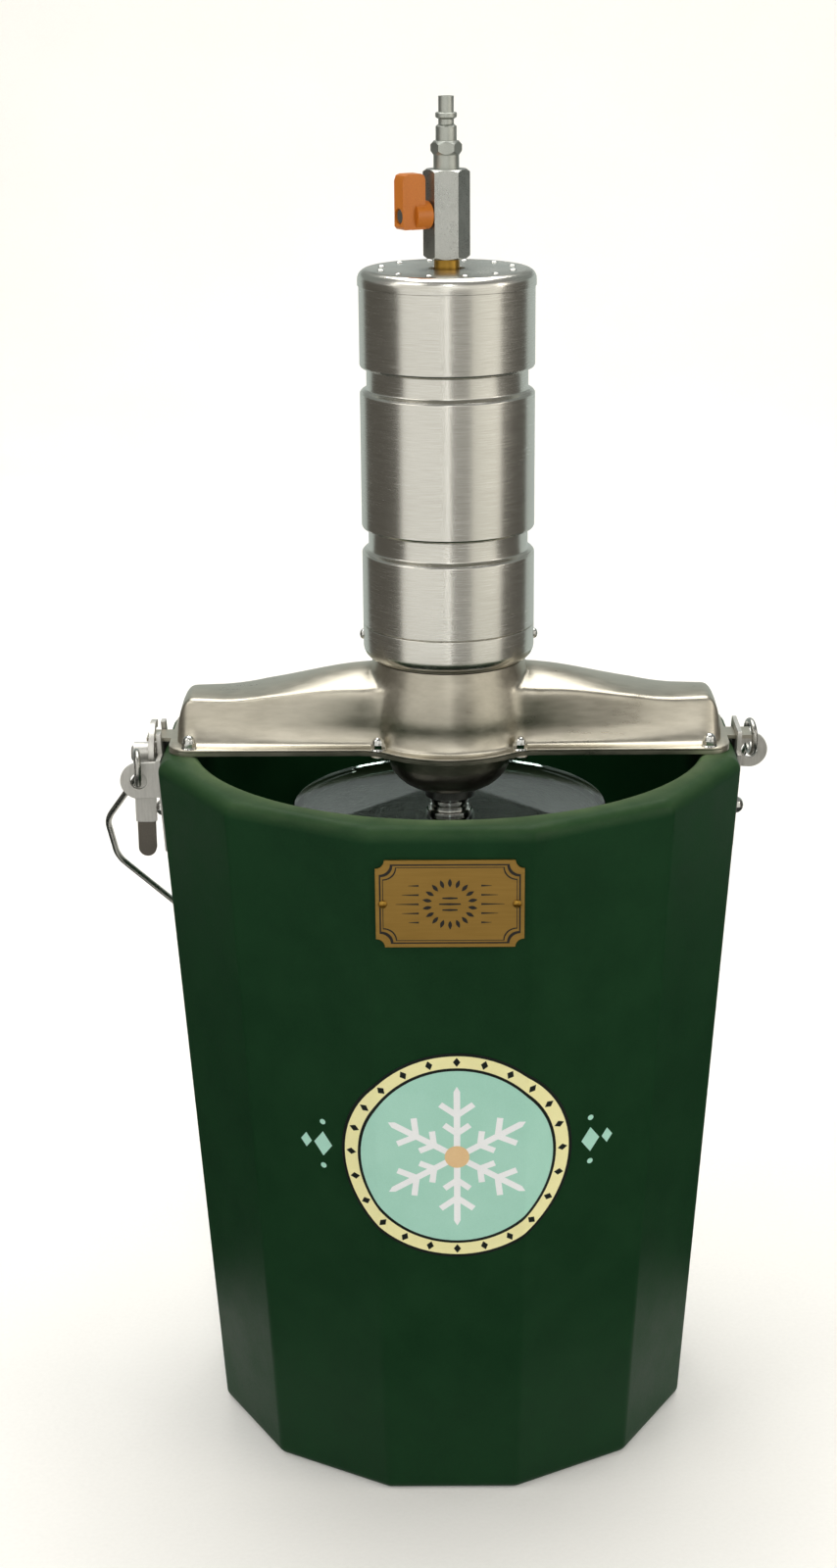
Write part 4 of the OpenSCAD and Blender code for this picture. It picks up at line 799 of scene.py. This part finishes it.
EYE, BOW, TUCK, BOW_AT, BOW_END, TURN = 8.95, 17.0, 4.0, 52.0, 94.0, 99.25
BOW_BEND, END_BEND, TURN_BEND = BOW_AT * 0.57, BOW_END * 0.49, 49.5
corners = [(-SPAN, EYE, 0), (-SPAN - BOW, BOW_AT, BOW_BEND), (-SPAN - BOW * 0.68, BOW_END, END_BEND),
           (-TURN, BAIL_REACH, TURN_BEND), (TURN, BAIL_REACH, TURN_BEND), (SPAN - TUCK * 3.5, BOW_END, END_BEND),
           (SPAN - TUCK, BOW_AT, BOW_BEND), (SPAN, EYE, 0)]
path = bpy.data.meshes.new("bail_route")
path.from_pydata([(t * MM, reach * MM, 0) for t, reach, r in corners],
                 [(i, i + 1) for i in range(len(corners) - 1)], [])
radii = path.attributes.new("bend", "FLOAT", "POINT")
for i, (t, reach, r) in enumerate(corners):
    radii.data[i].value = r * MM
bail_mesh = grown("bail_wire", tree, path, **{
    "Wire radius": 1.72 * MM, "Eye radius": EYE * MM, "Eye span": SPAN * MM})
turned = Matrix.Rotation(SKEW, 4, "Z") @ Matrix.Rotation(-HANG, 4, "X")
bail_mesh.transform(Matrix.Translation((0, 0, HINGE_Z * MM)) @ turned)
settle("bail_wire", bail_mesh, "bail", crease=50)

# %% [markdown]
# ## Other visible pieces
# The smaller pieces already have the right shape, so each is a filed copy of its solid: clean faces, smooth
# turned surfaces and softly broken edges that catch the light.

# %% File the small pieces
for node, edge in (("right_bracket", 0.4), ("left_bracket", 0.4), ("latch_lever", 0.3), ("latch_tab", 0.8),
                   ("latch_pivot", 0.3), ("bottom_plate", 0.3), ("frame_bolts", 0.3), ("gear_cup", 0.3),
                   ("lid_hub", 0.3), ("inlet_nipple", 0.2), ("valve_body", 0.5), ("valve_handle", 0.9),
                   ("bail_grip", 0.3), ("handle_screw", 0.2), ("can", 0.2)):
    filed(node, edge)
filed("plaque", 0.3, look="plaque_brass")

# %% [markdown]
# A clear lid mirrors the room, and a slight dish decides what it mirrors. The sheet is level round the hub,
# climbs with the square of the distance from the axis and ends in a skirt over the rim of the can.

# %% Dish the lid
DISH, LID_SHEET, LEVEL_R, EDGE_R = 780.0, 2.95, 13.0, 85.7
BORE_R, SKIRT, SKIRT_R, REST_R = 9.05, 10, 85.4, 82
lid_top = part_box("lid")[1][2] / MM
lid_low = lid_top - LID_SHEET


def dished(r, drop=0.0):
    return (r, lid_top - drop + (r * r - LEVEL_R * LEVEL_R) / (2 * DISH))


lid_line = [(BORE_R, lid_top), (LEVEL_R, lid_top)] + [dished(r) for r in range(16, 86, 3)]
lid_line += [dished(EDGE_R), (EDGE_R + 1, dished(EDGE_R, 1)[1]), (EDGE_R + 1, lid_top - SKIRT),
             (SKIRT_R, lid_top - SKIRT), (SKIRT_R, lid_low), (REST_R, lid_low)]
lid_line += [dished(r, LID_SHEET) for r in range(81, 13, -3)] + [(LEVEL_R, lid_low), (BORE_R, lid_low)]
settle("dished_lid", spun("dished_lid", lid_line), "lid")

# %% [markdown]
# The plug's hexagon was chamfered on a lathe before its flats were milled, so its corners run out in curves. A
# turned guard with two cones, wide everywhere else, keeps only what lies inside it.

# %% Chamfer the plug
GUARD = ((0.02, -15), (20, -15), (20, 6.95), (6.72, 6.97), (8.3, 9.4), (8.3, 11.8), (6.3, 14.03), (20, 14.05),
         (20, 60), (0.02, 60))
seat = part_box("valve_body")[1][2] / MM
plug = merged(frame["nodes"]["air_plug"].data.copy(), FINE_WELD)
guard = spun("guard", [(r, seat + up) for r, up in GUARD])
filed("air_plug", 0.25, look="blasted_steel", start=carve(plug, ("INTERSECT", guard)))

# %% [markdown]
# ## Label on the tub
# The front of the tub carries a printed film over three of its sides. It is drawn flat, in layers of one ink
# each, cut along the lines where the sides meet, and only then pressed onto the tub. Cutting first lets the film
# bend at the corner like the real one, without sinking in. The design is a plain snow crystal in a ring.

# %% Inks
for name, dark, light in (("ink_dark", "#0c1510", "#121c16"), ("ink_cream", "#ece6a6", "#f3edb4"),
                          ("ink_mint", "#9fd3c0", "#acdccb"), ("ink_white", "#eceef0", "#f6f7f8"),
                          ("ink_tan", "#e0bb88", "#ebc998")):
    make_finish(name, dark, light, (0.3, 0.42), fine=1500, relief=0.05)
make_finish("ink_brown", "#120d05", "#1c150a", (0.5, 0.62), fine=1500, relief=0.05)
LABEL_X, LABEL_Z = 3.0, 208.5


def flat_shapes(name, shapes):
    points, faces = [], []
    for shape in shapes:
        faces.append(list(range(len(points), len(points) + len(shape))))
        points += [(x, 0, z) for x, z in shape]
    return from_points(name, points, faces)


def disc(radius, x=0.0, z=0.0, steps=96):
    return [(x + u, z + v) for u, v in circle(radius, steps)]


def thicken(work, depth):
    back = bmesh.ops.extrude_face_region(work, geom=work.faces[:], use_keep_orig=True)
    for v in back["geom"]:
        if isinstance(v, bmesh.types.BMVert):
            v.co.y += depth * MM


def onto_tub(name, mesh, look, lift):
    work = bmesh.new()
    work.from_mesh(mesh)
    bmesh.ops.translate(work, verts=work.verts, vec=Vector((LABEL_X, 0, LABEL_Z)) * MM)
    corner = math.tan(HALF_SECTOR)
    steep = (RIM - FOOT) / TUB_H * corner
    for sign in (-1, 1):
        for step in (-1.9, -0.95, 0, 0.95, 1.9):
            bmesh.ops.bisect_plane(
                work, geom=work.verts[:] + work.edges[:] + work.faces[:], dist=1e-7,
                plane_co=(sign * (FOOT * corner + step) * MM, 0, 0), plane_no=(1, 0, -sign * steep))
    for v in work.verts:
        half = side_at(v.co.z / MM)
        near = (half - 0.5 * abs(v.co.x) / MM) / math.cos(math.radians(SECTOR))
        v.co.y = -((half + near - math.sqrt((half - near) ** 2 + 0.25)) / 2 + lift) * MM
    thicken(work, 0.5)
    work.to_mesh(mesh)
    work.free()
    settle(name, mesh, "tub", look, covers=False)


print("label middle:", LABEL_X, LABEL_Z)

# %% [markdown]
# One arm of the crystal is drawn, and a tree turns it six times around the middle. The ring of small diamonds is
# made in the same way, with more turns.

# %% Label
tree, size = tree_of("turned copies", "Count", "Distance")
index = put(tree, "GeometryNodeInputIndex")
spots = put(tree, "GeometryNodePoints", {"Count": size["Count"]})
turn = reckon(tree, reckon(tree, index.outputs["Index"], 2 * math.pi, "MULTIPLY"), size["Count"], "DIVIDE")
round_y = put(tree, "ShaderNodeCombineXYZ", {"Y": turn})
away = put(tree, "ShaderNodeCombineXYZ", {"Z": size["Distance"]})
moved = put(tree, "GeometryNodeTransform", {"Geometry": size["Geometry"], "Translation": away.outputs["Vector"]})
copies = plant(tree, spots.outputs["Points"], moved.outputs["Geometry"], Rotation=round_y.outputs["Vector"])
close(tree, copies, "ink_white")
arm = [(-1.7, 4.0), (-1.7, 13.0), (-7.6, 17.4), (-5.6, 20.0), (-1.7, 17.0), (-1.7, 23.5), (-9.6, 29.4),
       (-7.6, 32.0), (-1.7, 27.6), (-1.7, 38.0), (0.0, 41.0)]
arm += [(-x, z) for x, z in arm[-2::-1]]
diamond = [(0, -2.6), (1.9, 0), (0, 2.6), (-1.9, 0)]
side_marks = [[(x + s * 3.2 * dx, z + s * 3.2 * dz) for dx, dz in ((-1, 0), (0, 1.5), (1, 0), (0, -1.5))]
              for x, z, s in ((-70, 0, 1.5), (-79, 0, 0.9), (70, 0, 1.5), (79, 0, 0.9))]
side_marks += [disc(1.5, x, z, 24) for x in (-70, 70) for z in (-13, 13)]
for name, shapes, look, lift, turns in (
        ("label_outline", [disc(60)], "ink_dark", 0.15, None), ("label_ring", [disc(58.4)], "ink_cream", 0.2, None),
        ("label_diamonds", [diamond], "ink_dark", 0.25, {"Count": 24, "Distance": 55 * MM}),
        ("label_inner_line", [disc(51.6)], "ink_dark", 0.25, None), ("label_field", [disc(50)], "ink_mint", 0.3, None),
        ("label_crystal", [arm], "ink_white", 0.35, {"Count": 6, "Distance": 0.0}),
        ("label_heart", [disc(6.4, steps=48)], "ink_tan", 0.4, None),
        ("label_side_marks", side_marks, "ink_mint", 0.2, None)):
    layer = flat_shapes(name, shapes)
    onto_tub(name, grown(name, tree, layer, **turns) if turns else layer, look, lift)

# %% [markdown]
# ## Engraving on the plaque
# The plaque has a fine cut border that follows its scooped corners, with a ring of leaves in the middle. Cut lines
# filled with dark wax are what the eye reads, so they are thin dark shapes laid just proud of the brass.

# %% Engrave the plaque
def scooped(inset, steps=10):
    wide, tall, scoop = 37 - inset, 23.5 - inset, 4.5 + inset * 0.55
    line = []
    for sx, sz, start in ((1, 1, 180), (-1, 1, 270), (-1, -1, 0), (1, -1, 90)):
        bow = [math.radians(start + 90 * k / steps) for k in range(steps + 1)]
        arc = [(sx * wide + scoop * math.cos(a), sz * tall + scoop * math.sin(a)) for a in bow]
        line += arc[::-1]
    return line


def band(outer, inner):
    count = len(outer)
    return [[outer[i], outer[(i + 1) % count], inner[(i + 1) % count], inner[i]] for i in range(count)]


def onto_plaque(name, mesh):
    work = bmesh.new()
    work.from_mesh(mesh)
    bmesh.ops.remove_doubles(work, verts=work.verts, dist=WELD)
    thicken(work, 0.3)
    work.to_mesh(mesh)
    work.free()
    mesh.transform(Matrix.Translation((0, -FOOT * MM, 0)) @ Matrix.Rotation(slope, 4, "X") @
                   Matrix.Translation((0, -1.28 * MM, PLAQUE_AT * MM)))
    settle(name, mesh, "plaque", "ink_brown", covers=False)


leaf = [(0.9 * math.sin(math.pi * k / 8) * (1 - 0.25 * k / 8) * 1.25, -2.4 + 4.8 * k / 8) for k in range(9)]
leaf += [(-x, z) for x, z in leaf[-2:0:-1]]
border = band(scooped(1.9), scooped(2.7)) + band(scooped(3.5), scooped(3.9))
onto_plaque("plaque_border", flat_shapes("plaque_border", border))
leaves = grown("plaque_leaves", tree, flat_shapes("leaf", [leaf]), Count=18, Distance=11.5 * MM)
onto_plaque("plaque_leaves", leaves)
dashes = [[(-w, z - 0.35), (0, z - 0.6), (w, z - 0.35), (w, z + 0.35), (0, z + 0.6), (-w, z + 0.35)]
          for w, z in ((5.4, 0.0), (3.8, 3.2), (3.8, -3.2))]
for sign in (-1, 1):
    for far, z in ((1.0, 0.0), (0.7, 5.0), (0.7, -5.0), (0.4, 10.0), (0.4, -10.0)):
        x0, x1 = sign * 15.5, sign * (16.5 + 10.5 * far)
        dashes.append([(x0, z - 0.5), (x1, z - 0.1), (x1, z + 0.1), (x0, z + 0.5)])
onto_plaque("plaque_dashes", flat_shapes("plaque_dashes", dashes))

# %% [markdown]
# ## Floor and light
# A pale sweep with no corner keeps the eye on the object. Wide soft lights shape it. Polished metal shows what
# stands around it rather than the lamps, so cards stand in a circle as in a product studio: pale ones make the
# bright bands on the housing, and dark ones make its edges. Only reflections see the cards.

# %% Sweep
WIDE, BACK, BEND, TALL = 8.0, 2.8, 0.8, 4.0


def strip(count):
    return [[2 * i, 2 * i + 1, 2 * i + 3, 2 * i + 2] for i in range(count)]


turns = [math.radians(a) for a in range(0, 91, 10)]
sweep = [(-WIDE, 0.0)] + [(BACK + BEND * math.sin(a), BEND - BEND * math.cos(a)) for a in turns] + [(BACK + BEND, TALL)]
floor_mesh = bpy.data.meshes.new("floor")
floor_mesh.from_pydata([(x, y, z) for y, z in sweep for x in (-WIDE, WIDE)], [], strip(len(sweep) - 1))
floor_mesh.shade_smooth()
make_finish("paper", "#e6e4df", "#efede8", (0.7, 0.85), cloud=3, fine=400, relief=0.02,
            Emission_Color=(1.0, 0.99, 0.97, 1), Emission_Strength=0.14)
floor_mesh.materials.append(finish["paper"])
shown("floor", floor_mesh)
print("sweep faces:", len(floor_mesh.polygons))

# %% Lights
def soft_light(name, place, target, size, power, colour):
    data = bpy.data.lights.new(name, "AREA")
    data.shape = "RECTANGLE"
    data.size, data.size_y = size
    data.energy = power
    data.color = colour
    lamp = shown(name, data)
    lamp.location = place
    lamp.rotation_euler = (Vector(target) - Vector(place)).to_track_quat("-Z", "Y").to_euler()


soft_light("wide_left", (-1.5, -0.9, 1.7), (0, 0, 0.4), (1.2, 1.6), 14, (1.0, 0.98, 0.94))
soft_light("front_strip", (0.1, -2.4, 2.0), (0, 0, 0.6), (0.35, 1.6), 12, (1.0, 1.0, 1.0))
soft_light("warm_fill", (1.8, -0.8, 1.0), (0, 0, 0.4), (1.0, 1.2), 13, (1.0, 0.95, 0.87))
soft_light("overhead", (0.0, 0.5, 2.6), (0, 0, 0.4), (2.0, 1.4), 36, (1.0, 1.0, 0.98))
soft_light("wall_wash", (0.0, 2.2, 3.2), (0, 3.4, 0.7), (3.0, 0.6), 60, (1.0, 0.99, 0.97))


def card(name, start, end, level, colour, low=0.02, high=0.8, near=0.95, far=0.95, widen=0):
    points, steps = [], 16
    for k in range(steps + 1):
        for r, z, more in ((near, low, 0), (far, high, widen)):
            a = math.radians(start - more + (end - start + 2 * more) * k / steps)
            points.append((r * math.sin(a), -r * math.cos(a), z))
    mesh = bpy.data.meshes.new(name)
    mesh.from_pydata(points, [], strip(steps))
    look = bpy.data.materials.new(name)
    look.use_nodes = True
    look.node_tree.nodes.clear()
    glow = put(look.node_tree, "ShaderNodeEmission", {"Color": (*colour, 1), "Strength": level})
    put(look.node_tree, "ShaderNodeOutputMaterial", {"Surface": glow.outputs["Emission"]})
    mesh.materials.append(look)
    made = shown(name, mesh)
    made.visible_camera = made.visible_diffuse = made.visible_shadow = made.visible_transmission = False


card("pale_card_left", -62, -4, 0.88, (1.0, 0.99, 0.95), high=0.62)
card("grey_card", -4, 31, 0.36, (1.0, 0.98, 0.92), high=0.62)
card("pale_card_right", 31, 73, 0.78, (1.0, 0.98, 0.9), high=0.62)
card("dark_card_left", -134, -64, 0.1, (1.0, 0.94, 0.82))
card("dark_card_right", 73, 124, 0.1, (1.0, 0.95, 0.84))
card("dark_card_floor", -150, 150, 0.05, (0.9, 1.0, 0.9), low=0.003, high=0.003, near=0.22, far=0.95)
card("pale_card_high", -70, 70, 0.8, (1.0, 0.98, 0.92), low=0.62, high=1.25)
card("grey_card_back", 124, 226, 0.56, (0.9, 1.0, 0.96))
card("dark_card_back", 175.8, 184.2, 0.02, (0.9, 1.0, 0.9), low=0.6, high=0.745, near=0.93, far=0.93, widen=-3.7)
card("grey_card_high", 105, 255, 0.24, (0.92, 1.0, 0.95), low=0.8, high=1.7, far=1.1)
card("bright_line", -0.8, 1.2, 3.5, (1.0, 1.0, 0.98), near=0.94, far=0.94)
world = bpy.data.worlds.new("room")
world.use_nodes = True
world.node_tree.nodes["Background"].inputs["Color"].default_value = (0.62, 0.62, 0.60, 1)
world.node_tree.nodes["Background"].inputs["Strength"].default_value = 0.4
bpy.context.scene.world = world
bpy.context.scene.view_settings.view_transform = "Standard"
print("lights:", len(bpy.data.lights))
